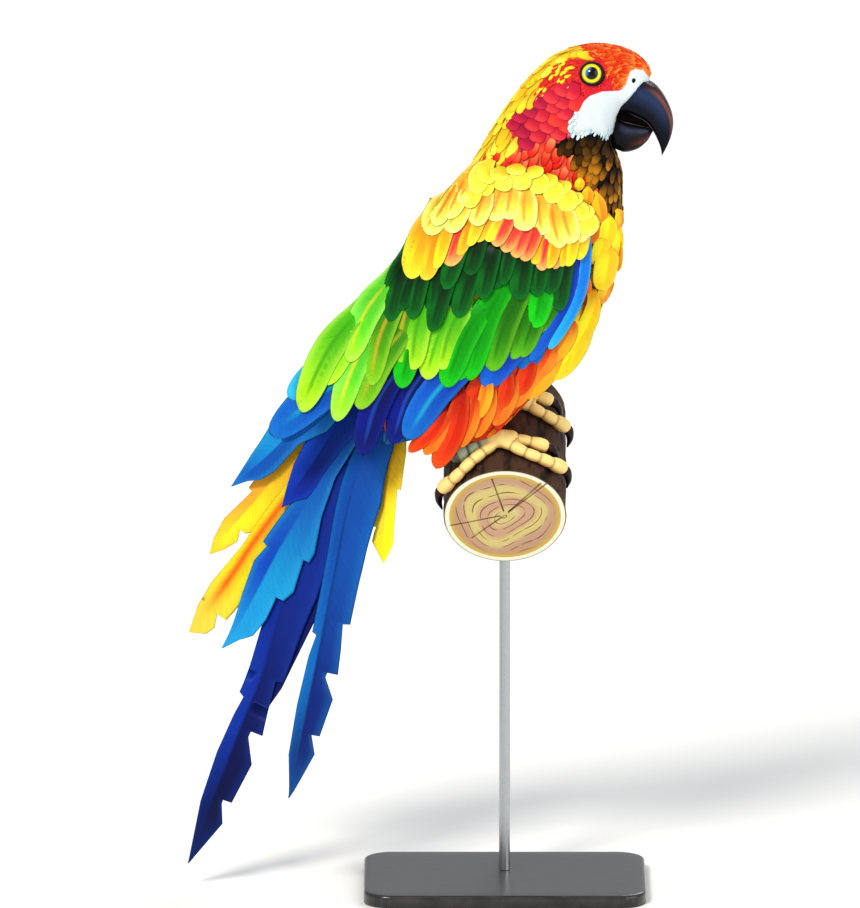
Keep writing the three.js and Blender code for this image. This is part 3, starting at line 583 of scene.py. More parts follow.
WING_ROWS = [
    # name, height over the form, half width, bow, lift of the outer edge, then root, tip, paint and, if it
    # is stouter than its row, by how much
    ("primaries", -3.2, 15, 0.05, 0.8, [
        (-96, 96, -199, 27, CYAN), (-84, 90, -216, -8, AZURE),
    ]),
    ("inner secondaries", -2.8, 12.5, 0.08, 0.9, [
        (-58, 84, -104, -10, NAVY),
    ]),
    ("blue secondaries", -1.2, 13.5, 0.08, 0.9, [
        (-84, 84, -132, -21, NAVY), (-16, 86, -91, -4, AZURE, 1.15), (34, 106, -19, 48, ROYAL),
        (52, 128, 17, 62, AZURE),
    ]),
    ("green secondaries", 0.8, 13.2, 0.07, 1.1, [
        (-104, 134, -166, 44, LIME), (-118, 128, -188, 17, LIME), (-96, 152, -145, 67, MINT),
        (-100, 122, -156, 12, MINT), (-76, 120, -135, 25, OLIVE), (-90, 140, -124, 48, OLIVE),
        (-82, 140, -97, 71, OLIVE), (-64, 130, -96, 47, BRIGHT), (-66, 140, -86, 65, LIME),
        (-38, 136, -73, 56, LIME), (-30, 140, -60, 66, LIME), (-10, 138, -55, 49, BRIGHT),
        (0, 150, -44, 56, BRIGHT), (14, 168, -34, 56, BRIGHT), (24, 156, -13, 65, MOSS),
        (42, 158, 6, 76, MOSS), (50, 150, 14, 78, MOSS), (46, 166, 26, 106, BRIGHT),
        (56, 152, 36, 96, MOSS),
    ]),
    ("leading edge", 1.6, 5.4, -0.09, 0.4, [
        (68, 186, 22, 73, ROYAL), (76, 192, 40, 84, CYAN),
    ]),
    ("green coverts", 2.9, 10.4, 0.04, 0.9, [
        (-84, 176, -107, 107, DARK_GREEN), (-70, 180, -97, 118, DEEP_GREEN),
        (-66, 182, -86, 112, DARK_GREEN), (-58, 180, -67, 121, DARK_GREEN),
        (-44, 172, -68, 102, DARK_GREEN), (-34, 196, -56, 141, DARK_GREEN),
        (-20, 184, -44, 116, DARK_GREEN), (-18, 204, -34, 155, DEEP_GREEN), (-6, 192, -22, 134, DARK_GREEN),
        (8, 204, -10, 144, DEEP_GREEN), (12, 204, -4, 147, DARK_GREEN), (22, 192, 12, 133, DARK_GREEN),
        (32, 196, 20, 142, DEEP_GREEN), (38, 194, 28, 136, DARK_GREEN), (50, 194, 40, 138, DEEP_GREEN),
        (60, 190, 48, 121, DARK_GREEN),
    ]),
    ("greater yellow coverts", 4.9, 8.2, 0.03, 0.9, [
        (-62, 212, -88, 146, SUNNY, 1.5), (-54, 210, -74, 147, GOLDEN, 1.3), (-44, 214, -64, 158, SUNNY),
        (-30, 214, -53, 162, SALMON, 1.35), (-24, 216, -43, 172, GOLDEN), (-16, 222, -34, 181, SUNNY),
        (-4, 226, -26, 185, GOLDEN), (6, 226, -17, 186, SUNNY), (10, 218, -10, 182, SALMON),
        (20, 212, -2, 177, SALMON), (26, 212, 8, 172, SALMON), (34, 210, 16, 169, SALMON),
        (40, 208, 25, 166, GOLDEN), (44, 208, 32, 160, SALMON), (50, 208, 38, 162, GOLDEN),
        (54, 208, 44, 161, SALMON), (60, 210, 50, 163, GOLDEN), (66, 212, 56, 163, SUNNY),
        (74, 212, 66, 168, SUNNY),
    ]),
    ("pale coverts", 6.7, 12.2, 0.04, 1.1, [
        (-44, 226, -72, 186, PALE), (-28, 232, -52, 191, PALE), (-10, 238, -28, 199, PALE),
        (2, 241, -12, 204, PALE), (10, 242, 1, 206, PALE), (20, 241, 17, 196, PALE),
        (31, 238, 33, 192, PALE), (41, 231, 49, 180, PALE), (50, 226, 60, 184, PALE),
        (58, 220, 69, 184, PALE), (66, 212, 78, 190, PALE),
    ]),
    ("shoulder coverts", 8.0, 9.6, 0.0, 0.7, [
        (-36, 240, -64, 194, PALE), (-29, 246, -52, 202, PALE), (-22, 240, -36, 214, LEMON),
        (-14, 244, -21, 225, LEMON), (0, 248, -4, 230, LEMON), (14, 250, 13, 231, LEMON),
        (28, 248, 32, 228, LEMON), (40, 241, 46, 220, LEMON), (51, 233, 59, 213, LEMON),
        (61, 223, 70, 203, LEMON), (69, 211, 76, 192, LEMON),
    ]),
    ("shoulder scales", 8.8, 8.8, 0.0, 0.5, [
        (-20, 256, -41, 216, PALE), (-12, 258, -28, 226, LEMON), (-14, 250, -18, 235, LEMON),
        (-4, 252, -5, 238, LEMON), (10, 255, 10, 243, LEMON), (24, 253, 27, 241, LEMON),
        (36, 246, 40, 233, LEMON), (47, 239, 53, 227, LEMON), (58, 229, 64, 217, LEMON),
        (67, 218, 74, 204, LEMON),
    ]),
]
WING_FEATHER_ROOT = -9.0  # how deep every feather of the wing is rooted
LEVEL_STEP, SHOULDER_STEP = 0.6, 0.35  # mm between neighbours of a row, so that no two cross
ROOT_SPAN = {"shoulder scales": 0.85}  # share of a feather's length over which it rises from its root
SHAPES = {  # width of the root as a share of the whole, and where along the feather it is full
    "leading edge": (0.9, 0.75), "pale coverts": (0.3, 0.5), "shoulder coverts": (0.3, 0.5),
    "shoulder scales": (0.3, 0.5),
}


def wing_feathers(side, seed):
    feathers = Feathers(seed)
    for name, lift, half, bow, tilt, members in WING_ROWS:
        step, bend = (SHOULDER_STEP, 0.04) if "shoulder" in name else (LEVEL_STEP, 0.09)
        for number, (x, z, tip_x, tip_z, paint, *stout) in enumerate(members):
            shake = feathers.random.normal(0, 1.2, 2) if side == LEFT else np.zeros(2)
            width = half * (stout[0] if stout else 1) * (1 + 0.05 * feathers.random.standard_normal())
            raised = lift + step * (number % 3 - 1)
            feathers.add(
                feather_line((x, z), np.array([tip_x, tip_z]) + shake, bow), on_wing(side),
                blunt(width, *SHAPES.get(name, ())), paint,
                rising(WING_FEATHER_ROOT, raised, ROOT_SPAN.get(name, 0.28)),
                tilt, camber=width * bend, shaft=0.25, thick=0.8,
            )
    return feathers


for side, name in SIDES:
    wing = wing_feathers(side, 11 if side == RIGHT else 12).piece(f"wing_{name}_feathers", flight_finish)
    finished(wing, "wing_feathers", f"wing_{name}")

# %% [markdown]
# ## The bed under the wing feathers
#
# On the bird, flesh and down fill the wing beneath its feathers, so no light shows between two of them. A
# bed of down could be planted, but none of it would be seen, so one soft cushion of the rows' own colours
# lies there, drawn as rings from its middle out to its rim and back underneath.

# %% Closed forms from rings, and the wing beds
WING_BED_OUTLINE = [
    (78, 210), (84, 190), (74, 158), (54, 112), (24, 80), (-14, 54), (-52, 38), (-84, 32), (-104, 48),
    (-114, 84), (-100, 130), (-84, 160), (-64, 184), (-40, 208), (-14, 230), (16, 242), (48, 236),
]
BED_DEPTH = 4.5  # mm under the feathers' surface
BED_THICK = 10.0  # mm in the middle


def closed_rings(rings, start, end):
    """Points and faces of a closed form, from its rings and the pole at each end."""
    points = np.concatenate([[start], rings.reshape(-1, 3), [end]])
    index = 1 + np.arange(rings.size // 3).reshape(rings.shape[:2])
    beside = np.roll(index, -1, 1)
    faces = [(0, b, a) for a, b in zip(index[0], beside[0])]
    faces += np.stack([index[:-1], beside[:-1], beside[1:], index[1:]], -1).reshape(-1, 4).tolist()
    faces += [(a, b, len(points) - 1) for a, b in zip(index[-1], beside[-1])]
    return points, faces


def combined(name, parts, material=None):
    """One object from several sets of points and faces in mm, with all faces turned outward."""
    points, faces = [], []
    for some_points, some_faces in parts:
        start = sum(map(len, points))
        points.append(some_points)
        faces += [tuple(corner + start for corner in face) for face in some_faces]
    made = mesh_object(name, placed(np.concatenate(points)), faces, material)
    work = bmesh.new()
    work.from_mesh(made.data)
    bmesh.ops.recalc_face_normals(work, faces=work.faces)
    work.to_mesh(made.data)
    work.free()
    return made


for side, name in SIDES:
    rim = smooth_line([*WING_BED_OUTLINE, WING_BED_OUTLINE[0]], np.linspace(0, 1, 72, endpoint=False))
    middle = rim.mean(0)
    share = np.linspace(0, 1, 16)[1:, None]
    ground = (middle + (rim - middle) * share[..., None]).reshape(-1, 2)
    upper = -BED_DEPTH - 16 * share**5 + 0 * rim[:, 0]
    lower = upper - BED_THICK * (1 - share**2) - 0.5
    upper_rings, lower_rings = (
        on_wing(side)(ground, lift.ravel()).reshape(*lift.shape, 3) for lift in (upper, lower)
    )
    poles = on_wing(side)(np.array([middle, middle]), np.array([-BED_DEPTH, -BED_DEPTH - BED_THICK]))
    bed_rings = np.concatenate([upper_rings, lower_rings[::-1]])
    bed = combined(f"wing_{name}_bed", [closed_rings(bed_rings, *poles)], contour_finish)
    place = places_of(bed)
    put_attribute(bed.data, "vane", place)
    down = 1 - ease(place[:, 2] + 0.35 * place[:, 0], 190, 90)
    tint = layered("#e8c82a", ("#0a5a14", down), ("#0a2a7c", 1 - ease(place[:, 2], 20, 90)))
    finished(bed, "wing_feathers", tint=tint)

# %% [markdown]
# ## The mantle
#
# Between the folded wings lies the mantle, short broad feathers down the middle of the back: golden under
# the nape, then olive and green, and blue over the rump. They follow the wings' back edge, so they are laid
# on a rounded ridge along it: a place is its distance from the middle and its distance down the back.

# %% The mantle between the wings
MANTLE_SINK, MANTLE_SINK_LOW = 4.0, 10.0  # mm inside the wings' back edge, at its top and its end
MANTLE_ROUND = 0.014  # drop from the middle, per square mm
MANTLE_ROW, MANTLE_LONG, MANTLE_HALF = 17.0, 44.0, 12.0
# each paint down to that many mm
MANTLE_PAINTS = [(70, GOLDEN), (120, OLIVE), (175, MOSS), (250, DARK_GREEN), (330, NAVY)]

down_back = run_along(wing_form.back)
back_heading = unit(np.gradient(wing_form.back, axis=0))


def on_mantle(ground, lift):
    """Lays places on the ridge of the back: ground holds mm to the left and mm down the back."""
    x, z, ahead_x, ahead_z = (
        np.interp(ground[:, 1], down_back, values) for values in (*wing_form.back.T, *back_heading.T)
    )
    sink = mix(MANTLE_SINK, MANTLE_SINK_LOW, ease(ground[:, 1], 100, 260))
    out = lift - sink - MANTLE_ROUND * ground[:, 0] ** 2
    return np.stack([x + ahead_z * out, ground[:, 0], z - ahead_x * out], 1)


mantle = Feathers(13)
for row, start in enumerate(np.arange(24, 290, MANTLE_ROW)):
    narrowed = mix(1, 0.6, ease(start, 80, 220))
    for place in np.array([-18, 0, 18] if row % 2 else [-9, 9]) * narrowed:
        shake = mantle.random.normal(0, 1.2, 2)
        paint = next(paint for end, paint in MANTLE_PAINTS if start + 12 * mantle.random.random() < end)
        mantle.add(
            feather_line((place, start), shake + [place * 0.9, start + MANTLE_LONG]), on_mantle,
            blunt(MANTLE_HALF * narrowed), paint, lambda s: mix(-4.0, 1.5, ease(s, 0, 0.7)),
            tilt=0.3, camber=1.0, shaft=0.2, thick=0.5,
        )
finished(mantle.piece("mantle_feathers", flight_finish), "body_feathers")

# %% [markdown]
# ## The tail
#
# A macaw's tail is a fan of long stiff feathers, folded almost flat, whose webs split where they wear. The
# fan lies in one plane that is rolled towards the viewer, so each feather is drawn on the profile by its
# shaft and the reach of its two webs, row by row, and laid on its own level of that plane. A jump between
# two rows at almost the same place is a split in the web.

# %% The tail's plane
TAIL_ROOT = np.array([-96.0, -20.0])
TAIL_END = np.array([-293.0, -414.0])
TAIL_ROLL = math.radians(60)
TAIL_LEVEL = 1.7  # mm from one vane of the stack to the next

tail_aim = unit(TAIL_END - TAIL_ROOT)
tail_up = np.array(
    [tail_aim[1] * math.cos(TAIL_ROLL), -math.sin(TAIL_ROLL), -tail_aim[0] * math.cos(TAIL_ROLL)]
)


def on_fan(level):
    """Lays profile places on the tail's plane; a higher level lies nearer the viewer."""

    def lay(ground, lift):
        flat = ground - TAIL_ROOT
        y = -(flat[:, 0] * tail_up[0] + flat[:, 1] * tail_up[2]) / tail_up[1]
        on_plane = np.stack([ground[:, 0], y, ground[:, 1]], -1)
        return on_plane + tail_up * (level * TAIL_LEVEL + lift)[:, None]

    return lay


def even_line(points):
    """A curve through points, read by the share of its length."""
    fine = smooth_line(points, 240)
    gone = run_along(fine)
    return lambda s: np.stack([np.interp(s, gone / gone[-1], fine[:, k]) for k in range(2)], -1)


def web(rows):
    """The reach of one web, in mm, along a feather. Its rows may jump, for a split."""
    return lambda s: np.interp(s, *np.array(rows, float).T)


# %% The tail feathers
# in most tail paints the right web is darker than the left: painted shade, as on a feather lit from one
# side
TAIL_FEATHERS = [
    # name, level, shaft, left web, right web, paint
    ("under centre", -1.6,
     [(-112, -20), (-176, -150), (-244, -300)],
     [(0, 8), (0.3, 14), (0.8, 12), (1, 1)],
     [(0, 8), (0.3, 16), (0.8, 12), (1, 1)],
     painted("#06186c #0a2c94 #05145c")),
    ("right yellow", -3.4,
     [(-104, 10), (-110, -51), (-113, -87), (-115, -126)],
     [(0, 8), (0.45, 12), (0.77, 13.5), (0.775, 8.5), (0.81, 10), (0.87, 11.5), (1, 0.6)],
     [(0, 9), (0.25, 13.5), (0.5, 12), (0.505, 8.6), (0.87, 8.4), (1, 0.6)],
     painted("#e8b824 #efd24a #ece41c #e9e012 #f4f040", edge_share=0.3)),
    ("outer yellow", -2.6,
     [(-150, 6), (-199, -43), (-236, -87), (-256, -111), (-275, -135)],
     [(0, 8), (0.2, 13), (0.5, 13.5), (0.62, 12.3), (0.625, 8), (0.82, 10.5), (0.93, 6.5), (1, 0.6)],
     [(0, 9), (0.3, 17), (0.6, 18.9), (0.76, 17), (0.8, 12.5), (0.805, 7), (0.86, 11.5), (0.93, 7.5),
      (1, 0.6)],
     painted("#f0b428 #f0a63a #ece220 #f0dc30 #f0a838", edge_share=0.35)),
    ("middle yellow", -1.0,
     [(-150, -8), (-189, -60), (-231, -118), (-249, -146), (-272, -180), (-293, -207)],
     [(0, 7), (0.45, 9), (0.6, 7.5), (0.7, 10), (0.8, 12), (0.9, 9.5), (1, 0.6)],
     [(0, 9), (0.5, 17), (0.8, 20), (0.87, 18.5), (0.875, 9), (0.92, 14.5), (0.96, 12.5), (1, 0.6)],
     painted("#e8d824 #efdf1e #e8e01c #f0cf4c - #e36a12", shaft_width=4.2)),
    ("centre", 0,
     [(-120, 30), (-143, -19), (-168, -85), (-189, -136), (-208, -186), (-224, -239), (-238, -274),
      (-266, -345), (-293, -414)],
     [(0, 9), (0.3, 12), (0.52, 14), (0.655, 14.2), (0.66, 9.2), (0.7, 11.3), (0.78, 12.9), (0.88, 10.4),
      (1, 0.5)],
     [(0, 9), (0.2, 20), (0.42, 24.7), (0.6, 20), (0.605, 13), (0.66, 16), (0.71, 19.8), (0.713, 8.6),
      (0.725, 8.5), (0.77, 20.4), (0.855, 16.3), (0.858, 8.3), (0.865, 8.3), (0.9, 15.5), (1, 0.5)],
     painted("#0a2c8c #0c3aa8 #020f58 #020a3c #1450b8 #041458", edge_share=0.2)),
    ("second", 1,
     [(-112, 24), (-119, -8), (-132, -38), (-144, -82), (-153, -128), (-161, -166), (-174, -229),
      (-184, -277), (-195, -330), (-199, -345)],
     [(0, 10), (0.25, 12.6), (0.5, 10.8), (0.6, 10.5), (0.605, 6.4), (0.66, 9.4), (0.78, 10.7), (0.9, 9.2),
      (1, 0.5)],
     [(0, 12), (0.12, 21), (0.25, 27.5), (0.37, 23.6), (0.45, 22.4), (0.555, 22.2), (0.56, 15.6),
      (0.62, 18.5), (0.68, 20.3), (0.683, 10.5), (0.695, 9.8), (0.74, 20.3), (0.835, 15.4), (0.838, 8),
      (0.88, 14.2), (1, 0.5)],
     painted("#0c50a4 #0e72be #06287c #07246c #1c8ad0 #061c5c", edge_share=0.25)),
    ("cyan", 2.1,
     [(-124, 16), (-146, -24), (-167, -58), (-187, -90), (-208, -126), (-231, -171), (-246, -198),
      (-260, -218)],
     [(0, 9), (0.3, 13), (0.45, 12.9), (0.61, 16.2), (0.615, 11.4), (0.68, 15.3), (0.8, 11.3), (0.95, 3),
      (1, 0.5)],
     [(0, 6), (0.28, 8.2), (0.34, 12), (0.42, 17), (0.54, 28.7), (0.58, 28.6), (0.583, 23.5), (0.7, 28.9),
      (0.745, 24.6), (0.748, 17.5), (0.83, 18.6), (0.9, 15.7), (0.94, 7.5), (1, 0.5)],
     painted("#1260b0 #0c3cb4 #1696cc #1e96d4 #34b4e0", edge_share=0.25)),
    ("upper dark", 2.9,
     [(-118, 66), (-130, 22), (-155, -12), (-176, -45), (-204, -86)],
     [(0, 12), (0.35, 21), (0.6, 17), (0.78, 13.6), (0.9, 7), (1, 0.5)],
     [(0, 12), (0.4, 17), (0.6, 14), (0.68, 13.2), (0.8, 15.8), (0.88, 13), (0.93, 6), (1, 0.5)],
     painted("#0a3c9c #0e4cc4 #06247c #0a2ca0 #1c5cd0", edge_share=0.3)),
    ("upper blue", 3.8,
     [(-118, 62), (-146, 29), (-167, 9), (-192, -16), (-217, -42), (-250, -72)],
     [(0, 12), (0.35, 22), (0.52, 20.5), (0.64, 18), (0.82, 10.5), (1, 0.5)],
     [(0, 12), (0.45, 20), (0.6, 12), (0.7, 12.8), (0.78, 14), (0.86, 12), (0.92, 5.5), (1, 0.5)],
     painted("#1270c0 #1a9cd8 #0e56ac #0f5cb8 #2fb0e4", edge_share=0.3)),
]

tail = Feathers(5)
for name, level, shaft, left, right, paint in TAIL_FEATHERS:
    tail.add(
        even_line(shaft), on_fan(level), (web(left), web(right)), paint,
        lambda s: -3.5 * (1 - ease(s, 0, 0.3)),
        tilt=0.3, camber=1.3, shaft=0.9, thick=0.9, rows=40, stops=[place for place, _ in left + right],
    )
finished(tail.piece("tail_feathers_long", flight_finish), "tail_feathers", "tail")

# %% [markdown]
# ## The hide under the coat
#
# Head, neck, trunk and thighs are one hide with no joints, so one closed skin takes the place of the
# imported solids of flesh. It could be sculpted from their meshes, but their facets would show at the bare
# face. Here the same stations are drawn finely, joined with the thighs, and voxels weld them into one even
# surface. The skin then sinks by the depth of the coat, but not at the bare face, which has no feathers.

# %% The body's stations, and limbs and welds
BODY = [
    # back edge and front edge on the profile, and the half width between them
    (137.5, 328, 137.5, 328, 0), (134, 337.5, 131.5, 319.5, 9), (124, 348, 120.5, 312, 14),
    (109.5, 355.5, 107.5, 298, 20), (93, 359, 101, 272.5, 26), (76.5, 359, 99, 261, 31),
    (55, 353.5, 105.5, 250.5, 35), (34, 341, 109, 237, 38), (12, 317, 109.5, 220, 41),
    (-9, 287, 108.5, 200, 44), (-27, 256, 106, 177.5, 47), (-46, 226, 103, 153, 51),
    (-62, 198, 96.5, 127, 56), (-75, 170, 87, 102.5, 59), (-86, 141, 72, 77, 60), (-94, 110, 50.5, 52, 57),
    (-100, 80, 23, 28, 51), (-105, 50, -14, 6, 43), (-108, 22, -54, -8, 26), (-113, -2, -86, -16, 12),
    (-114, -14, -104, -20, 5), (-112, -22, -112, -22, 0),
]
body_form = Form(BODY)


def tube(path, radii, around=16, cap=4, steps=None):
    """A round limb with round ends, in mm; with steps, its path and radii are drawn that finely."""
    if steps:
        path, radii = smooth_line(path, steps), spread(radii, steps)
    ahead = unit(np.gradient(path, axis=0))
    turn = np.linspace(math.pi / 2, 0, cap, endpoint=False)
    first = path[0] - ahead[0] * radii[0] * np.sin(turn)[:, None]
    last = path[-1] + ahead[-1] * radii[-1] * np.sin(turn[::-1])[:, None]
    centres = np.concatenate([first, path, last])
    sizes = np.concatenate([radii[0] * np.cos(turn), radii, radii[-1] * np.cos(turn[::-1])])
    ways = np.concatenate([np.repeat(ahead[:1], cap, 0), ahead, np.repeat(ahead[-1:], cap, 0)])
    sides = [np.cross(ways[0], [0.31, 0.52, 0.79])]
    for way in ways:
        sides.append(unit(sides[-1] - way * (sides[-1] @ way)))
    sides = np.array(sides[1:])
    lap = around_circle(around)[:, None]
    spokes = np.cos(lap) * sides[:, None] + np.sin(lap) * np.cross(ways, sides)[:, None]
    rings = centres[:, None] + sizes[:, None, None] * spokes
    return closed_rings(rings[1:-1], centres[0], centres[-1])


def closed_form(form, rows=120, columns=72):
    """Points and faces of a whole form."""
    shell = form.shell(rows, columns)
    return closed_rings(shell[1:-1], shell[0].mean(0), shell[-1].mean(0))


def welded(name, rough, voxel, smooth, material):
    """Welds an object's forms into one even surface of that voxel size in mm, then smooths it."""
    weld = rough.modifiers.new("Weld", "REMESH")
    weld.mode, weld.voxel_size = "VOXEL", voxel * MM
    relax = rough.modifiers.new("Relax", "SMOOTH")
    relax.factor, relax.iterations = 0.5, smooth
    mesh = bpy.data.meshes.new_from_object(rough.evaluated_get(bpy.context.evaluated_depsgraph_get()))
    bpy.data.objects.remove(rough)
    mesh.name = name
    mesh.shade_smooth()
    mesh.materials.clear()
    mesh.materials.append(material)
    return linked(mesh, name)


# %% Legs and toes on the log
LOG_RADIUS = 57.0
LOG_TILT = math.radians(30)
LOG_NEAR, LOG_FAR = -62.0, 80.0  # ends, in mm along the log from the bird's middle
TOE_RADIUS = 6.9
log_along = np.array([0, math.cos(LOG_TILT), math.sin(LOG_TILT)])
log_up = np.array([0, -math.sin(LOG_TILT), math.cos(LOG_TILT)])
LOG_AXIS = -LOG_RADIUS * log_up


def on_log(along, degrees, radius):
    """A place at that radius round the log's axis; 0 degrees is its top line and more is forward."""
    angle = np.radians(degrees)
    out = log_up * np.cos(angle)[..., None] + np.array([1.0, 0, 0]) * np.sin(angle)[..., None]
    return LOG_AXIS + np.asarray(along)[..., None] * log_along + np.asarray(radius)[..., None] * out


FEET = {
    # place along the log, turn round it, heel, and the path of each toe as steps along and degrees round
    "right": (-27.5, -4, (-44, -28, -22), {
        "outer": [(0, 0), (-13, 20), (-14, 38), (-9, 58)],
        "inner": [(1, 2), (3, 20), (3, 37)],
        "back_outer": [(-4, -6), (-20, -26), (-28, -42), (-28, -58)],
        "back_inner": [(3, -6), (12, -26), (16, -46)],
    }),
    "left": (27.5, 10, (-26, 27, 21), {
        "outer": [(0, 0), (-5, 16), (-6, 30), (-2, 49)],
        "inner": [(3, 0), (12, 14), (15, 28)],
        "back_outer": [(-4, -8), (-10, -28), (-12, -50)],
        "back_inner": [(4, -6), (14, -28), (18, -52)],
    }),
}
HIP = (4, 26, 46)  # the left hip


def leg_points(side, name):
    """Hip, heel and ankle of one leg."""
    along, turn, heel, _ = FEET[name]
    ankle = on_log(np.array(along), np.array(turn), np.array(LOG_RADIUS + TOE_RADIUS + 3))
    return np.array(HIP, float) * [1, side, 1], np.array(heel, float), ankle


# %% The skin, with the bare pad that laps over the bill's base
SKIN_VOXEL = 2.4  # mm
COAT_DEPTH = 2.6  # mm between the hide and the coat's outline
CERE = [(106, 335, 90, 292, 16), (118, 333.5, 96, 293, 19.2), (129, 325, 103.5, 297, 20.6)]

flesh = [closed_form(body_form)]
for side, name in SIDES:
    hip, heel, _ = leg_points(side, name)
    thigh = [hip, mix(hip, heel, 0.55), mix(hip, heel, 0.9)]
    flesh.append(tube(thigh, [27, 20, 6.5], 24, steps=24))
flesh.append(closed_form(Form(CERE, 2.8), 40, 64))
skin_material, skin_tree, skin_shader = new_material(
    "Short down over bare hide", Roughness=0.65, Specular_IOR_Level=0.2,
    Subsurface_Weight=0.08, Subsurface_Radius=(0.002, 0.001, 0.0008),
)
skin = welded("skin", combined("flesh", flesh), SKIN_VOXEL, 14, skin_material)
print("skin:", len(skin.data.vertices), "vertices")

# %% [markdown]
# ## Where each kind of plume grows
#
# A parrot's plumage changes kind in tracts: small scales on the crown, fine strokes behind the eye, broad
# scallops on the cheek, long ovals on the nape, dark-tipped throat plumes, and longer plumes down to the
# thighs. A colour image could hold these borders, but outlines on the profile stay sharp and serve the
# skin and the coat alike. Each tract gives the size of its plumes and pairs of root and tip colours.

# %% Tools for places on the bird
def outline_distance(outline, ground):
    """Distance in mm to a closed outline on the profile: positive inside and negative outside."""
    corners = np.array(outline, float)
    inside = np.zeros(len(ground), bool)
    nearest = np.full(len(ground), np.inf)
    for p, q in zip(corners, np.roll(corners, -1, 0)):
        way = q - p
        t = np.clip((ground - p) @ way / (way @ way), 0, 1)
        nearest = np.minimum(nearest, np.linalg.norm(ground - p - t[:, None] * way, axis=1))
        if p[1] != q[1]:
            spans = (p[1] > ground[:, 1]) != (q[1] > ground[:, 1])
            inside ^= spans & (ground[:, 0] < p[0] + (ground[:, 1] - p[1]) * way[0] / way[1])
    return np.where(inside, nearest, -nearest)


# %% Outlines of the tracts
EYE = (78.7, 335.2)
EYE_BALL = 13.0
EYE_OPENING = 9.4
FACE = [
    (67, 303), (71, 309), (78, 314.5), (90, 317.5), (106, 316.5), (109.5, 319), (112.5, 326), (115, 333),
    (120, 335.5), (127, 333.5), (133, 326), (136, 318), (146, 310), (150, 296), (112, 300), (103, 290),
    (101, 278), (99, 275), (90, 277), (78, 281), (70, 279), (60, 279), (57, 286), (60, 293), (64, 299),
]
CROWN = [
    (68, 372), (68, 357), (80, 354), (87, 350), (92, 344), (93, 336), (99, 330), (98, 322), (106, 316.5),
    (109.5, 319), (112.5, 326), (115.5, 331), (120, 332.5), (126, 331), (133, 325), (136, 318), (150, 312),
    (150, 372),
]
UNDER_EYE = [(58, 322), (66, 328), (80, 322), (99, 332), (102, 317), (78, 314.5), (67, 303), (62, 310)]
STROKES = [
    (74, 352), (60, 350), (48, 344), (34, 330), (21, 311), (32, 312), (43, 322), (52, 316), (60, 322),
    (70, 330), (70, 342), (86, 345), (84, 351),
]
CHEEK = [
    (66, 328), (52, 318), (43, 325), (32, 314), (21, 306), (9, 292), (0, 280), (7, 274), (11, 261),
    (20, 262), (26, 266), (37, 271), (52, 272), (62, 279), (60, 293), (68, 300), (69, 308), (78, 320),
]
THROAT = [
    (38, 275), (51, 276), (62, 281), (74, 282), (87, 280), (98, 276), (118, 268), (118, 200), (104, 190),
    (95, 188), (91, 206), (83, 231), (71, 246), (58, 256), (46, 266),
]
RED_BAND = [
    (-19, 258), (0, 257), (9, 268), (14, 264), (20, 267), (38, 275), (46, 266), (58, 256), (71, 246),
    (83, 231), (91, 206), (84, 200), (72, 215), (40, 222), (0, 232), (-30, 240),
]

# width, length and depth of a plume in mm, the rise of its tip in mm, the distance between two roots as a
# share of its size, then pairs of root and tip colours
TRACTS = {
    "eye ring": (2.8, 5.2, 0.5, 0.4, 0.5,
        "#c8242e #e0303a  #d02c2c #e84038  #bc2034 #d42a40"),
    "crown": (3.6, 9.0, 0.6, 1.0, 0.5,
        "#f0762a #e8401c  #ee8a34 #ea4a1e  #f2a044 #ee6a2a  #e85a20 #dc3014"),
    "under eye": (4.0, 7.5, 0.4, 0.4, 0.5,
        "#d0262e #e02e34  #c42234 #d8283c"),
    "strokes": (3.4, 9.5, 0.7, 1.0, 0.56,
        "#d8301e #e83c30  #cc2a34 #e2362e  #e8901e #fae040  #e8a41e #f8dc2c"),
    "cheek": (9.0, 12.0, 0.3, 0.1, 0.5,
        "#d83a48 #c02044  #cc2c44 #b81a42"),
    "fringe": (3.2, 8.5, 0.6, 1.0, 0.46,
        "#c4d8dc #e2ecec  #9ccad2 #c8e6e8  #b4d0d6 #dceaec"),
    "throat": (8.2, 21.0, 1.0, 1.9, 0.48,
        "#0a0703 #c8861a  #080602 #8a5a14  #0c0904 #d89a26  #080602 #a8701a"),
    "red band": (9.0, 20.0, 0.9, 1.6, 0.55,
        "#f07a50 #e02c20  #ec5a3c #dc241c  #f4905e #e8402c"),
    "nape": (11.0, 29.0, 0.8, 1.4, 0.46,
        "#e8a41e #f4d830  #ecb828 #f8e850  #e29a1c #f2c828  #eab028 #f6e03c"),
    "breast": (17.0, 30.0, 1.3, 1.9, 0.5,
        "#f09a14 #fbe02e  #f4a81e #fdec50  #f08c18 #f8cc28  #f2a420 #fbdc38"),
    "belly": (17.0, 40.0, 1.4, 2.1, 0.5,
        "#f0b018 #f9e428  #f0a416 #f8d422  #e27c12 #f2a21e  #d2501a #ee7c26  "
        "#bc2c10 #e8501c  #ae220e #de3c16"),
    "thigh": (10.0, 25.0, 1.1, 1.9, 0.5,
        "#b0220c #e84a1a  #bc3410 #f08428  #a61c0c #da3814"),
    "back": (14.0, 30.0, 1.2, 1.9, 0.5,
        "#e0a014 #f2d022  #2f8a14 #7cc01c  #0a3c8c #1560b4"),
}
LATE_TIPS = {"throat": (0.32, 0.88), "cheek": (0.5, 1.0)}  # where along a plume its tip colour sets in
TRACT_NAMES = list(TRACTS)


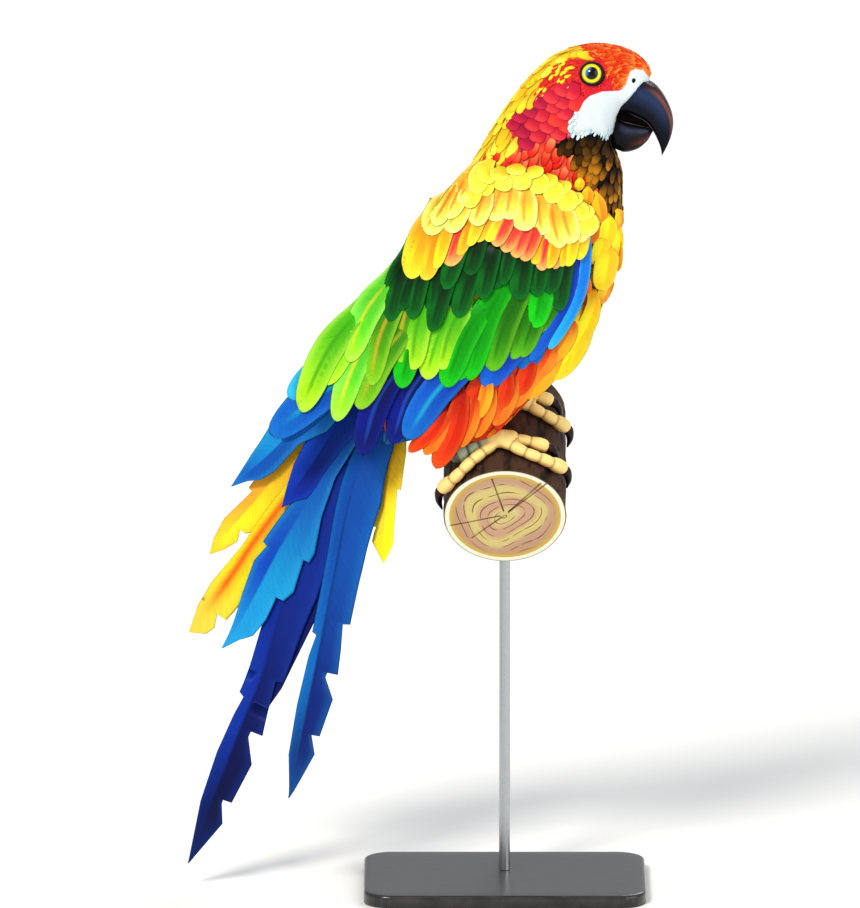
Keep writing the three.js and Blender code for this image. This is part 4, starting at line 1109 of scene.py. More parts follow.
# %% Tracts and their colours
def tract_of(places):
    """The tract that each place belongs to, as its number; -1 is bare."""
    x, z = places[:, 0], places[:, 2]
    ground = places[:, [0, 2]]
    from_eye = np.linalg.norm(ground - EYE, axis=1)
    face = outline_distance(FACE, ground)
    lower_edge = (z < 287) | ((x < 66) & (z < 302))
    rules = [
        ("fringe", (face > -1.5) & (face < 5.5) & lower_edge & (x < 103)),
        (None, (face > 0) | ((from_eye < EYE_OPENING + 0.7) & (z > 255))),
        (None, (x > 104) & (z < 312) & (z > 268)),
        (None, (z < -0.25 * x - 17) & (x > -62)),
        ("eye ring", from_eye < EYE_OPENING + 6),
        ("crown", outline_distance(CROWN, ground) > 0),
        ("under eye", outline_distance(UNDER_EYE, ground) > 0),
        ("strokes", outline_distance(STROKES, ground) > 0),
        ("cheek", outline_distance(CHEEK, ground) > 0),
        ("throat", outline_distance(THROAT, ground) > 0),
        ("red band", outline_distance(RED_BAND, ground) > 0),
        ("nape", z > np.where(x < 45, 222, 244)),
        ("breast", (z > 168) & (x > 40)),
        ("thigh", (z < 62) & (x < 40) & (z > -0.35 * x - 36)),
        ("belly", x > np.interp(z, [0, 60, 120, 170, 230], [-60, -40, -10, 20, 40])),
        ("back", np.ones(len(ground), bool)),
    ]
    tract = np.full(len(ground), -2)
    for name, where in rules:
        tract[(tract == -2) & where] = TRACT_NAMES.index(name) if name else -1
    return tract


def plume_colours(tract, places, along, whim):
    """Colours of plumes of one tract, from their roots' places, the share along each and its whim."""
    pairs = np.array([linear(colour) for colour in TRACTS[tract][5].split()]).reshape(-1, 2, 3)
    x, z = places[:, 0], places[:, 2]
    if tract == "belly":
        pick = np.interp(x - 0.25 * (z - 60), [-30, 0, 22, 42, 58, 80], [5, 4, 3, 2, 1, 0])
        pick = np.clip(pick + (whim - 0.5) * 1.6, 0, len(pairs) - 1)
    elif tract == "back":
        pick = np.clip(np.interp(z, [0, 60, 120, 170], [2, 1.4, 0.8, 0]) + (whim - 0.5) * 0.4, 0, 2)
    else:
        pick = np.floor(whim * (len(pairs) - 1e-3))
    low = np.minimum(pick.astype(int), len(pairs) - 2)
    chosen = mix(pairs[low], pairs[low + 1], (pick - low)[:, None, None])
    tip_share = ease(along, *LATE_TIPS.get(tract, (0.15, 0.85)))
    light = 0.93 + 0.14 * whim
    if tract == "throat":
        # black under the face, and darker round the front
        light = light * (1 - 0.85 * ease(z, 258, 278)) * (1 - 0.3 * ease(x, 88, 106))
    return mix(chosen[:, 0], chosen[:, 1], tip_share[:, None]) * light[:, None]


# %% Which way the plumes lie, and their size
def from_profile(ways):
    """Ways on the profile as ways in space."""
    return np.insert(ways, 1, 0, axis=1)


skin_places = places_of(skin)
skin_outward = values_of(skin.data.vertex_normals, "vector", 3)
skin_ground = skin_places[:, [0, 2]]
skin_tract = tract_of(skin_places)
x, y, z = skin_places.T
# down the body's middle line, outward on the breast, away from the eye and down the thighs
heading = np.gradient((body_form.back + body_form.front) / 2, axis=0)
for _ in range(30):
    heading[1:-1] = (heading[:-2] + heading[1:-1] * 2 + heading[2:]) / 4
lie = from_profile(unit(heading)[body_form.locate(skin_ground)[0].astype(int)])
lie[:, 1] = np.sign(y) * 0.18 * ease(x, 40, 110) * (z < 240)
from_eye = skin_ground - EYE
eye_gap = np.linalg.norm(from_eye, axis=1)
round_eye = (1 - ease(eye_gap, EYE_OPENING, EYE_OPENING + 14)) * (z > 290)
lie += 0.9 * from_profile(from_eye) / EYE_OPENING * round_eye[:, None]
lie = mix(lie, np.array([-0.45, 0, -0.9]), (ease(z, 70, 20) * 0.8)[:, None])
lie = unit(lie - skin_outward * (lie * skin_outward).sum(1)[:, None])
near_bill = ease(np.linalg.norm(skin_ground - [140, 320], axis=1), 0, 60)
plume_scale = np.where(z > 262, mix(0.7, 1, near_bill), 1)
print("plumes are", round(plume_scale.min(), 2), "to", round(plume_scale.max(), 2), "of their full size")

# %% The skin's own colours
MIDDLE_WHIM = 0.45

tint = np.tile(linear("#d9e1e3"), (len(skin_places), 1))
tint[eye_gap < 15] = linear("#8c1a20")
tint[z < 100] = linear("#8c2412")
# the bare face's own border is drawn by the shader, so the tint runs on a little way under it
into_face = outline_distance(FACE, skin_ground)
under_border = (into_face > 0) & (into_face < 6) & (x < 108)
tint[under_border] = np.where((z[under_border] > 298)[:, None], linear("#cc2a34"), linear("#b4d0d6"))
for number, name in enumerate(TRACT_NAMES):
    members = skin_tract == number
    whim = np.full(members.sum(), MIDDLE_WHIM)
    tint[members] = plume_colours(name, skin_places[members], whim * 0.8, whim)
put_attribute(skin.data, "outward", skin_outward)
put_attribute(skin.data, "lie", lie)
put_attribute(skin.data, "into_face", into_face)

# under the coat the hide lies deeper, and round the eye it sinks into the socket
socket_dip = 1.2 * hill(eye_gap, 15, 6) * (z > 300)
sunk = skin_places - skin_outward * (COAT_DEPTH * (1 - ease(into_face, -2, 6)) + socket_dip)[:, None]
skin.data.vertices.foreach_set("co", placed(sunk).astype(np.float32).ravel())
skin.data.update()
skin_bvh = BVHTree.FromObject(skin, bpy.context.evaluated_depsgraph_get())
print("tracts:", {name: int((skin_tract == i).sum()) for i, name in enumerate(TRACT_NAMES)})

# %% Skin material
coat_tint = add_node(skin_tree, "ShaderNodeAttribute", attribute_name="tint")
inward = add_node(skin_tree, "ShaderNodeAttribute", output="Fac", attribute_name="into_face")
border = {"Value": inward, "From Min": -0.4, "From Max": 0.4}
is_face = add_node(skin_tree, "ShaderNodeMapRange", border)
sides_of_border = {0: is_face, 6: coat_tint, 7: (*linear("#d9e1e3"), 1)}
skin_tint = add_node(skin_tree, "ShaderNodeMix", sides_of_border, data_type="RGBA")
skin_place = add_node(skin_tree, "ShaderNodeTexCoord", output="Object")
# fine grain of the powdery bare hide: real pores are 0.3 mm, coarsened to about 1 mm
pores, patches = (
    add_node(skin_tree, "ShaderNodeTexNoise", {"Vector": skin_place, "Scale": scale, "Detail": detail})
    for scale, detail in ((900.0, 3.0), (120.0, 2.0))
)
surfaced(skin_tree, skin_shader, shaded(skin_tree, skin_tint, patches, 0.9, 1.04), pores, 0.3, 0.3)
finished(skin, "body_feathers", "head", "neck", "torso", "thigh_right", "thigh_left", tint=tint)

# %% [markdown]
# ## The coat
#
# The coat is thousands of small feathers of one shape, rooted at even distances like tiles on a roof, all
# lying down the body. Hair strands would be too thin for them and placing each by hand too slow, so
# geometry nodes plant one modelled feather: points that keep their distance, turned so that the feather
# lies along the skin, lifted a little, then made real. Each tract has its own size and spacing.

# %% One feather of the coat
def plume_form():
    """A closed feather of unit width and length: root at the origin, tip along Y, outside along Z."""
    s = np.array([0, 0.14, 0.32, 0.5, 0.68, 0.83, 0.94, 1.0])[:, None]
    c = np.array([[-1, -0.55, 0, 0.55, 1]])
    z = 0.5 * ease(s, 0, 0.4) - 0.5 - 0.4 * c**2 - 0.25 * s**4
    lens = 0.45 * (1 - c**2) * np.sin(np.pi * np.clip(s, 0.04, 0.97))
    top, low = (np.stack([blunt(0.5, 0.4, 0.5)(s) * c, s + 0 * c, height], -1) for height in (z, z - lens))
    points = np.concatenate([top.reshape(-1, 3), low[1:-1, 1:-1].reshape(-1, 3)])
    form = mesh_object("feather_form", points, grid_faces(*top.shape[:2])[0])
    put_attribute(form.data, "form", points)
    return form


feather_form = plume_form()
print("one feather of the coat:", len(feather_form.data.polygons), "faces")


# %% The tree that plants them
def planting_tree():
    tree = bpy.data.node_groups.new("Plant feathers", "GeometryNodeTree")
    ports = {
        "Skin": "Geometry", "Feather": "Object", "Spacing": "Float", "Crowd": "Float", "Turn": "Float",
        "Rise": "Float", "Seed": "Int", "Finish": "Material",
    }
    for name, kind in ports.items():
        tree.interface.new_socket(name=name, in_out="INPUT", socket_type="NodeSocket" + kind)
    tree.interface.new_socket(name="Coat", in_out="OUTPUT", socket_type="NodeSocketGeometry")
    port = add_node(tree, "NodeGroupInput").node.outputs

    grow, outward, lie, plume, form = (
        add_node(tree, "GeometryNodeInputNamedAttribute", {"Name": name}, data_type=kind)
        for name, kind in (
            ("grow", "FLOAT"), ("outward", "FLOAT_VECTOR"), ("lie", "FLOAT_VECTOR"),
            ("plume", "FLOAT_VECTOR"), ("form", "FLOAT_VECTOR"),
        )
    )
    # roots that keep their distance, each with its own whim
    points = add_node(
        tree, "GeometryNodeDistributePointsOnFaces", distribute_method="POISSON",
        links={
            "Mesh": port["Skin"], "Selection": grow, "Distance Min": port["Spacing"],
            "Density Max": port["Crowd"], "Seed": port["Seed"],
        },
    )
    place = add_node(tree, "GeometryNodeInputPosition")
    whim = add_node(tree, "FunctionNodeRandomValue", {"Seed": 7}, data_type="FLOAT")
    for name, kind, value in (("root_place", "FLOAT_VECTOR", place), ("whim", "FLOAT", whim)):
        points = add_node(
            tree, "GeometryNodeStoreNamedAttribute", data_type=kind, domain="POINT",
            links={"Geometry": points, "Name": name, "Value": value},
        )
    # each is turned to lie along the skin, with a small shake, and grown to its own size
    turned = add_node(
        tree, "FunctionNodeAxesToRotation", primary_axis="Z", secondary_axis="Y",
        links={"Primary Axis": outward, "Secondary Axis": lie},
    )
    shake, growth = (
        add_node(
            tree, "FunctionNodeRandomValue", data_type="FLOAT_VECTOR",
            links={"Min": least, "Max": most, "Seed": seed},
        )
        for least, most, seed in (((0, 0, -1), (0, 0, 1), 3), ((0.88, 0.84, 0.9), (1.1, 1.16, 1.1), 5))
    )
    sway = add_node(tree, "ShaderNodeVectorMath", {0: shake, "Scale": port["Turn"]}, operation="SCALE")
    shaken = add_node(tree, "FunctionNodeEulerToRotation", {"Euler": sway})
    lifted = add_node(
        tree, "FunctionNodeRotateRotation", rotation_space="LOCAL",
        links={"Rotation": turned, "Rotate By": shaken},
    )
    scale = add_node(tree, "ShaderNodeVectorMath", {0: plume, 1: growth}, operation="MULTIPLY")
    shape = add_node(tree, "GeometryNodeObjectInfo", {"Object": port["Feather"]}, output="Geometry")
    planted = add_node(
        tree, "GeometryNodeInstanceOnPoints",
        links={"Points": points, "Instance": shape, "Rotation": lifted, "Scale": scale},
    )
    real = add_node(tree, "GeometryNodeRealizeInstances", {"Geometry": planted})
    # each feather is then laid down: every corner moves to its height over the nearest skin
    near = add_node(
        tree, "GeometryNodeProximity", target_element="FACES",
        links={"Geometry": port["Skin"], "Sample Position": place},
    )
    out = add_node(
        tree, "GeometryNodeSampleNearestSurface", data_type="FLOAT_VECTOR",
        links={"Mesh": port["Skin"], "Value": outward, "Sample Position": place},
    )
    corner, size = (
        add_node(tree, "ShaderNodeSeparateXYZ", {"Vector": value}).node.outputs for value in (form, plume)
    )
    body = add_node(tree, "ShaderNodeMath", {0: corner["Z"], 1: size["Z"]}, operation="MULTIPLY")
    height = add_node(
        tree, "ShaderNodeMath", {0: corner["Y"], 1: port["Rise"], 2: body}, operation="MULTIPLY_ADD"
    )
    raised = add_node(tree, "ShaderNodeVectorMath", {0: out, "Scale": height}, operation="SCALE")
    ground = add_node(tree, "ShaderNodeVectorMath", {0: near, 1: raised}, operation="ADD")
    laid = add_node(tree, "GeometryNodeSetPosition", {"Geometry": real, "Position": ground})
    coat = add_node(tree, "GeometryNodeSetMaterial", {"Geometry": laid, "Material": port["Finish"]})
    add_node(tree, "NodeGroupOutput", {"Coat": coat})
    return tree


planting = planting_tree()
print("planting tree:", len(planting.nodes), "nodes")


# %% Planting one tract
HIDDEN_BY_WINGS = [
    (64, 210), (72, 190), (62, 160), (42, 116), (12, 88), (-20, 66), (-60, 50), (-90, 46), (-140, 40),
    (-140, 130), (-100, 176), (-78, 196), (-50, 218), (-16, 234), (18, 238), (46, 226),
]


def planted_mesh(grow, spacing, turn, rise, seed):
    """Grows feathers where grow is 1 and returns them as a plain mesh."""
    put_attribute(skin.data, "grow", grow)
    step = skin.modifiers.new("Plant", "NODES")
    step.node_group = planting
    values = {
        "Feather": feather_form, "Spacing": spacing * MM, "Crowd": 5 / (spacing * MM) ** 2,
        "Turn": math.radians(turn), "Rise": rise * MM, "Seed": seed, "Finish": contour_finish,
    }
    for item in planting.interface.items_tree:
        if item.name in values:
            step[item.identifier] = values[item.name]
    mesh = bpy.data.meshes.new_from_object(skin.evaluated_get(bpy.context.evaluated_depsgraph_get()))
    skin.modifiers.remove(step)
    return mesh


def growing(tract):
    """Where plumes of a tract are rooted: their outer part, which shows, must lie in the tract, and no tip
    may reach bare skin."""
    number, length = TRACT_NAMES.index(tract), TRACTS[tract][1]
    way = lie * (plume_scale * length)[:, None]
    shows = tract_of(skin_places + way * 0.6) == number
    tip_is_bare = tract_of(skin_places + way * 0.95) == -1
    hidden = outline_distance(HIDDEN_BY_WINGS, skin_ground) > 0
    on_pad = (np.abs(skin_places) > [112, 12, 0]).all(1) & (skin_places[:, 2] < 335.5)
    return shows & ~hidden & ~on_pad & (skin_tract != -1) & (~tip_is_bare | (tract == "fringe"))


# %% The coat, piece by piece
PLUME_TURN = 9  # degrees that a plume may lie askew
PATCH = 0.003  # width of one feather's patch in the map for baking


def coat_piece(name, slot, tracts, seed):
    points, faces, tints, vanes, patches = [], [], [], [], []
    for number, tract in enumerate(tracts):
        width, length, depth, rise, closeness, _ = TRACTS[tract]
        put_attribute(skin.data, "plume", plume_scale[:, None] * [width, length, depth] * MM)
        spacing = closeness * math.sqrt(width * length)
        mesh = planted_mesh(growing(tract), spacing, PLUME_TURN, rise, seed + 1 + number)
        form, size, root = (
            values_of(mesh.attributes[field].data, "vector", 3) for field in ("form", "plume", "root_place")
        )
        whim = values_of(mesh.attributes["whim"].data, "value", 1)
        ring = values_of(mesh.loops, "vertex_index", 1).astype(int)
        root = from_perch(root)
        tints.append(plume_colours(tract, root, form[:, 1], whim))
        vanes.append(np.column_stack([form[:, :2] * size[:, :2] / MM, whim * 90]))
        down, side_share = body_form.locate(root[:, [0, 2]])
        turn = np.arctan2(root[:, 1], -side_share * 45) / (2 * math.pi) + 0.5
        unwrap = np.stack([turn, down / STEPS], 1) * 0.96 + 0.02
        patches.append((unwrap + form[:, :2] * PATCH)[ring])
        faces.append(ring.reshape(-1, 4) + sum(map(len, points)))
        points.append(values_of(mesh.vertices, "co", 3))
        bpy.data.meshes.remove(mesh)
    made = coated(name, points, faces, contour_finish, tints, vanes, patches)
    print(name, "holds", sum(map(len, points)) // len(feather_form.data.vertices), "feathers")
    finished(made, slot)


coat_piece(
    "head_plumage", "crown_feathers", ["crown", "eye ring", "under eye", "strokes", "cheek", "fringe"], 20
)
coat_piece("neck_plumage", "neck_feathers", ["nape", "throat", "red band"], 40)
coat_piece("body_plumage", "body_feathers", ["breast", "belly", "back"], 60)
coat_piece("leg_plumage", "leg_feathers", ["thigh"], 80)
bpy.data.objects.remove(feather_form)

# %% [markdown]
# ## The long straps of belly and legs
#
# Along the lower edge of the body hang the longest contour feathers, wide enough to be seen one by one.
# Planted points can't set such an edge, so each is drawn, like a wing feather, by its root and tip, over
# a form that wraps belly and thighs together.

# %% Belly and leg straps
SKIRT = Form([
    (-60, 190, 104, 150, 58), (-84, 150, 97, 108, 61), (-98, 110, 84, 70, 60), (-106, 76, 64, 42, 58),
    (-110, 44, 44, 14, 54), (-112, 12, 18, -14, 47), (-114, -20, -20, -44, 38), (-118, -45, -52, -72, 28),
])
# each strap's dark root stands partly for painted shade under the wing above it
RED_STRAP = painted("#a81c0c #e2401a #d4300f #e84c16 #ee6a26", edge_share=0.4, turns=(0.1, 0.6))
ORANGE_STRAP = painted("#c02c12 #e8501e #ee8628 #ee7a22 #f4a83a", edge_share=0.4, turns=(0.1, 0.6))
AMBER_STRAP = painted("#d8501a #ee8a22 #f2b428 #f2a824 #f6c83e", edge_share=0.4, turns=(0.1, 0.6))
YELLOW_STRAP = painted("#f0a81c #fae428 #f2cc1c #f6dc20 #fbee50", edge_share=0.4, turns=(0, 0.5))
LEG_STRAPS = [
    # root, tip, half width, height over the form, paint
    (-50, 34, -88, -17, 7.0, 3.6, RED_STRAP), (-42, 36, -74, -18, 7.4, 4.4, ORANGE_STRAP),
    (-38, 54, -64, -31, 11.0, 5.4, RED_STRAP), (-26, 50, -41, -10, 7.0, 4.8, ORANGE_STRAP),
    (-12, 58, -28, -1, 8.0, 4.0, ORANGE_STRAP), (-16, 66, -25, 19, 6.5, 5.8, AMBER_STRAP),
    (8, 70, -11, 11, 9.6, 4.6, ORANGE_STRAP), (0, 74, -4, 28, 7.0, 5.6, RED_STRAP),
    (28, 84, 5, 28, 9.6, 4.2, ORANGE_STRAP), (22, 84, 10, 40, 8.0, 5.4, RED_STRAP),
    (54, 100, 18, 36, 10.5, 4.4, AMBER_STRAP), (46, 100, 26, 56, 8.5, 5.4, ORANGE_STRAP),
    (74, 128, 43, 53, 13.0, 5.0, YELLOW_STRAP), (62, 118, 38, 70, 9.0, 5.8, AMBER_STRAP),
    (72, 118, 54, 62, 7.0, 5.6, YELLOW_STRAP), (-8, 96, -44, 16, 10.0, 3.2, RED_STRAP),
    (12, 104, -18, 34, 10.0, 3.2, RED_STRAP), (34, 110, 2, 46, 9.0, 3.0, RED_STRAP),
    (82, 138, 56, 76, 8.0, 6.2, YELLOW_STRAP),
]


def drawn_feathers(name, slot, seed, members, form, bow, shape, rise, bend, **build):
    """One piece of feathers drawn on the right side, and again on the left with a little shake."""
    feathers = Feathers(seed)
    for side, _ in SIDES:
        for x, z, tip_x, tip_z, half, height, paint in members:
            shake = feathers.random.normal(0, 1.5, 2) if side == LEFT else np.zeros(2)
            feathers.add(
                feather_line((x, z), np.array([tip_x, tip_z]) + shake, bow), on_form(form, side),
                blunt(half, *shape), paint, rise(height), camber=half * bend, thick=0.6, **build,
            )
    finished(feathers.piece(name, covert_finish), slot)


drawn_feathers(
    "leg_straps", "leg_feathers", 31, LEG_STRAPS, SKIRT, -0.06, (0.55, 0.5),
    lambda height: rising(-6.0, height, 0.3, droop=1.5), bend=0.14, tilt=0.9, shaft=0.2,
)

# %% [markdown]
# ## Ovals of the breast and scallops of the cheek
#
# Two places show single feathers too large for the planted coat: yellow ovals down the breast and round
# scallops on the cheek. The ovals are drawn one by one. The scallops stand in rows like roof tiles, so
# loops set them, each with a small shake, and their place picks their red.

# %% Ovals of the breast
# the orange of the ovals' right webs is partly painted shade
SUN_OVAL = painted("#f2c420 #fbe62c #f4cc1e #f2c81c #fbee4a", edge_share=0.35, turns=(0, 0.4))
GOLD_OVAL = painted("#f2c02a #f6c828 #ee9a22 #ee8e1e #f8d848", edge_share=0.35, turns=(0, 0.4))
EMBER_OVAL = painted("#f0a82a #f0962a #e4661e #e8761e #f4b04a", edge_share=0.35, turns=(0, 0.4))
BREAST_OVALS = [
    # root, tip, half width, height over the body, paint
    (69, 241, 66, 228, 4.5, 2.6, SUN_OVAL), (75, 233, 74, 214, 5.6, 3.0, GOLD_OVAL),
    (82, 228, 88, 195, 6.6, 3.0, GOLD_OVAL), (77, 216, 79, 178, 6.6, 4.0, EMBER_OVAL),
    (103, 208, 105, 188, 4.6, 2.4, GOLD_OVAL), (94, 206, 91, 172, 8.0, 3.8, SUN_OVAL),
    (90, 188, 81, 158, 7.6, 4.4, SUN_OVAL), (104, 180, 103, 147, 4.6, 2.6, GOLD_OVAL),
    (101, 193, 103, 165, 6.4, 3.4, SUN_OVAL), (75, 154, 67, 114, 6.2, 3.4, EMBER_OVAL),
    (97, 150, 87, 119, 7.6, 3.4, GOLD_OVAL), (93, 179, 87, 133, 11.2, 5.4, SUN_OVAL),
]
drawn_feathers(
    "breast_ovals", "body_feathers", 32, BREAST_OVALS, body_form, 0.0, (0.3, 0.45),
    lambda height: lambda s: height - 6 * (1 - ease(s, 0, 0.35)) ** 2 - 1.2 * s**3,
    bend=0.16, tilt=0.4, shaft=0.1,
)

# %% Scallops of the cheek
FLAME_SCALLOP = painted("#d42c34 #ea4438 #e03834 #e84a3c #cc2234", edge_share=0.35, turns=(0.3, 0.9))
CORAL_SCALLOP = painted("#b81a3c #dc3c42 #d43040 #de4a4c #b4183a", edge_share=0.35, turns=(0.3, 0.9))
WINE_SCALLOP = painted("#9c103e #c02444 #b81c42 #c83050 #a0103e", edge_share=0.35, turns=(0.3, 0.9))
DOWN_CHEEK = np.array([-0.34, -0.94])
ACROSS_CHEEK = np.array([0.94, -0.34])
SCALLOP_START = np.array([56, 322])
SCALLOP_ROW, SCALLOP_PITCH, SCALLOP_HALF, SCALLOP_LONG = 9.4, 12.6, 8.4, 17.0

scallops = Feathers(33)
for side, _ in SIDES:
    for row in range(9):
        for place in range(-7, 5):
            shake = scallops.random.normal(0, 1.3, 2)
            tip = SCALLOP_START + DOWN_CHEEK * SCALLOP_ROW * row + shake
            tip = tip + ACROSS_CHEEK * SCALLOP_PITCH * (place + 0.5 * (row % 2))
            if tract_of(np.array([[tip[0], 0, tip[1]]]))[0] != TRACT_NAMES.index("cheek"):
                continue
            bright = tip[0] - 0.4 * (tip[1] - 290) + scallops.random.normal(0, 3)
            paint = FLAME_SCALLOP if bright > 50 else CORAL_SCALLOP if bright > 24 else WINE_SCALLOP
            scallops.add(
                feather_line(tip - DOWN_CHEEK * SCALLOP_LONG, tip), on_form(body_form, side),
                blunt(SCALLOP_HALF), paint, lambda s: mix(-2.7, -1.5, s**0.7),
                tilt=0.1, camber=0.2, shaft=0.0, thick=0.25, rows=12,
            )
finished(scallops.piece("cheek_scallops", contour_finish), "crown_feathers")
print("cheek scallops:", len(scallops.vanes))

# %% [markdown]
# ## Horn, eyes and skin
#
# The bill is a bone core in a polished horn sheath, dark, with a worn pale cutting edge. Sculpting it free
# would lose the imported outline, so it is lofted from the same stations, only finely.

# %% A tint material for horn, skin and eyes
def tinted_material(name, grain_size, grain_depth, contrast, **settings):
    """A material that reads its colour from "tint", with noise of that grain in mm as bump and shade."""
    material, tree, shader = new_material(name, **settings)
    tint = add_node(tree, "ShaderNodeAttribute", attribute_name="tint")
    place = add_node(tree, "ShaderNodeTexCoord", output="Object")
    grain = {"Vector": place, "Scale": 1 / (grain_size * MM), "Detail": 3.0}
    noise = add_node(tree, "ShaderNodeTexNoise", grain)
    surfaced(tree, shader, shaded(tree, tint, noise, 1 - contrast, 1 + contrast), noise, 0.5, grain_depth)
    return material


horn_finish = tinted_material("Polished dark horn", 3.0, 0.08, 0.2, Roughness=0.24, Specular_IOR_Level=0.2)
scale_finish = tinted_material("Dry scaly leg skin", 1.2, 0.25, 0.12, Roughness=0.5, Specular_IOR_Level=0.3)
claw_finish = tinted_material(
    "Polished claw horn", 2.0, 0.08, 0.25, Roughness=0.25, Specular_IOR_Level=0.25
)
eye_finish = tinted_material("Wet eye", 0.8, 0.0, 0.12, Roughness=0.06, Specular_IOR_Level=0.5)
mouth_finish = tinted_material("Dark dry mouth skin", 1.0, 0.15, 0.2, Roughness=0.8, Specular_IOR_Level=0.1)

# %% Bill
BILL_POWER = 3
UPPER_BILL = [
    (117, 329, 97, 292, 16.6), (130, 323, 109, 293.5, 18.4), (139, 317, 119, 289.5, 17.5),
    (146.5, 307, 127, 285.5, 14.5), (152, 295, 131.3, 281, 11.5), (154, 284, 135.5, 275, 8.5),
    (152.5, 272.5, 139.5, 267, 5.6), (148.7, 262, 142.5, 259, 2.8), (143.5, 252, 143.5, 252, 0),
]
LOWER_BILL = [
    (84, 292, 84, 262, 12), (102, 290, 100, 259.5, 16), (110.5, 286, 109.5, 256.5, 16),
    (121.5, 283, 121.5, 259.5, 13.5), (129.5, 280.5, 130, 266.5, 10), (133.5, 278.5, 134, 273, 5),
    (135.5, 275.5, 135.5, 275.5, 0),
]
# marks: colour, strength, place round the bill as a cosine, its width, then where along the bill it rises
# and falls. The slate and brown marks are painted highlights; the pale ones are worn cutting edges.
UPPER_MARKS = [
    ("#34486e", 0.7, 0.25, 0.30, 0.0, 0.12, 0.35, 0.8),  # painted slate highlight over the cheek of the bill
    ("#8a544c", 0.9, 0.70, 0.17, 0.05, 0.4, 0.55, 0.9),  # painted brown highlight along its ridge
    ("#c09488", 0.9, -0.9, 0.04, 0.12, 0.25, 0.75, 0.9),  # worn cutting edge
]
LOWER_MARKS = [
    # painted slate highlight along the lower bill
    ("#3c4258", 0.7, 0.35, 0.25, 0.15, 0.3, 0.6, 0.9),
    ("#6c3c36", 0.8, -0.3, 0.22, 0.3, 0.6, 2, 3),  # painted brown highlight that runs on to the tip
    ("#c09488", 0.9, 0.93, 0.04, 0.1, 0.25, 0.8, 0.95),
]


def bill_piece(name, node, stations, base, marks, rows=110, columns=80):
    """One half of the bill, lofted from its stations and painted with marks over a base colour."""
    shell = Form(stations, BILL_POWER).shell(rows, columns)
    made = combined(name, [closed_rings(shell[:-1], shell[0].mean(0), shell[-1].mean(0))], horn_finish)
    ring = np.concatenate([[0], np.repeat(np.linspace(0, 1, rows)[:-1], columns), [1]])
    turn = np.concatenate([[0], np.tile(around_circle(columns), rows - 1), [0]])
    layers = (
        (colour, strength * hill(np.cos(turn), middle, width) * between(ring, *reach))
        for colour, strength, middle, width, *reach in marks
    )
    finished(made, "bill_horn", node, tint=layered(base, *layers))


bill_piece("bill_upper_horn", "bill_upper", UPPER_BILL, "#060a1a", UPPER_MARKS)
bill_piece("bill_lower_horn", "bill_lower", LOWER_BILL, "#07060a", LOWER_MARKS)

# %% Tongue and mouth
TONGUE = [(90, 0, 285), (108, 0, 287), (126, 0, 284.5)]
TONGUE_SIZES = [3.6, 3.65, 3.7, 3.75, 3.8, 2.6]
MOUTH = [
    (94, 297, 94, 284, 9), (108, 299, 107, 282, 10.5), (119, 296, 120, 279, 9.5),
    (128, 291, 128.5, 276.5, 7), (133, 283, 133, 276, 3.5),
]
tongue = combined("tongue_skin", [tube(TONGUE, TONGUE_SIZES, steps=16)], scale_finish)
finished(tongue, "tongue_skin", "tongue", tint="#120c0e")
mouth = combined("mouth_lining", [closed_form(Form(MOUTH), 40, 36)], mouth_finish)
finished(mouth, "tongue_skin", tint="#050304")

# %% [markdown]
# ## The eyes
#
# A macaw's eye is a wet ball behind a bare dark lid: a yellow iris, a black pupil, a clear cornea that
# stands a little proud. The ball is turned on a lathe, as a glass eye is, and painted by its own radius.

# %% Eyes and lids
PUPIL, IRIS = 5.9, 8.9
EYE_TILT = math.radians(18)  # both eyes look a little upward, square to the slope of the head
EYE_STANDS = 3.0  # mm that the cornea stands over the head
EYE_AROUND = 64
LID_HALF = 1.25  # mm from the middle of the lid's ring to its surface
LID_RADIUS = EYE_OPENING + 0.6


def round_gaze(centre, forward, upward, turn, radius, out):
    """Places round the way that an eye looks, at a radius from its axis and that far out along it."""
    turn, radius, out = (values[..., None] for values in np.broadcast_arrays(turn, radius, out))
    spokes = np.cos(turn) * np.array([1.0, 0, 0]) + np.sin(turn) * upward
    return centre + radius * spokes + out * forward


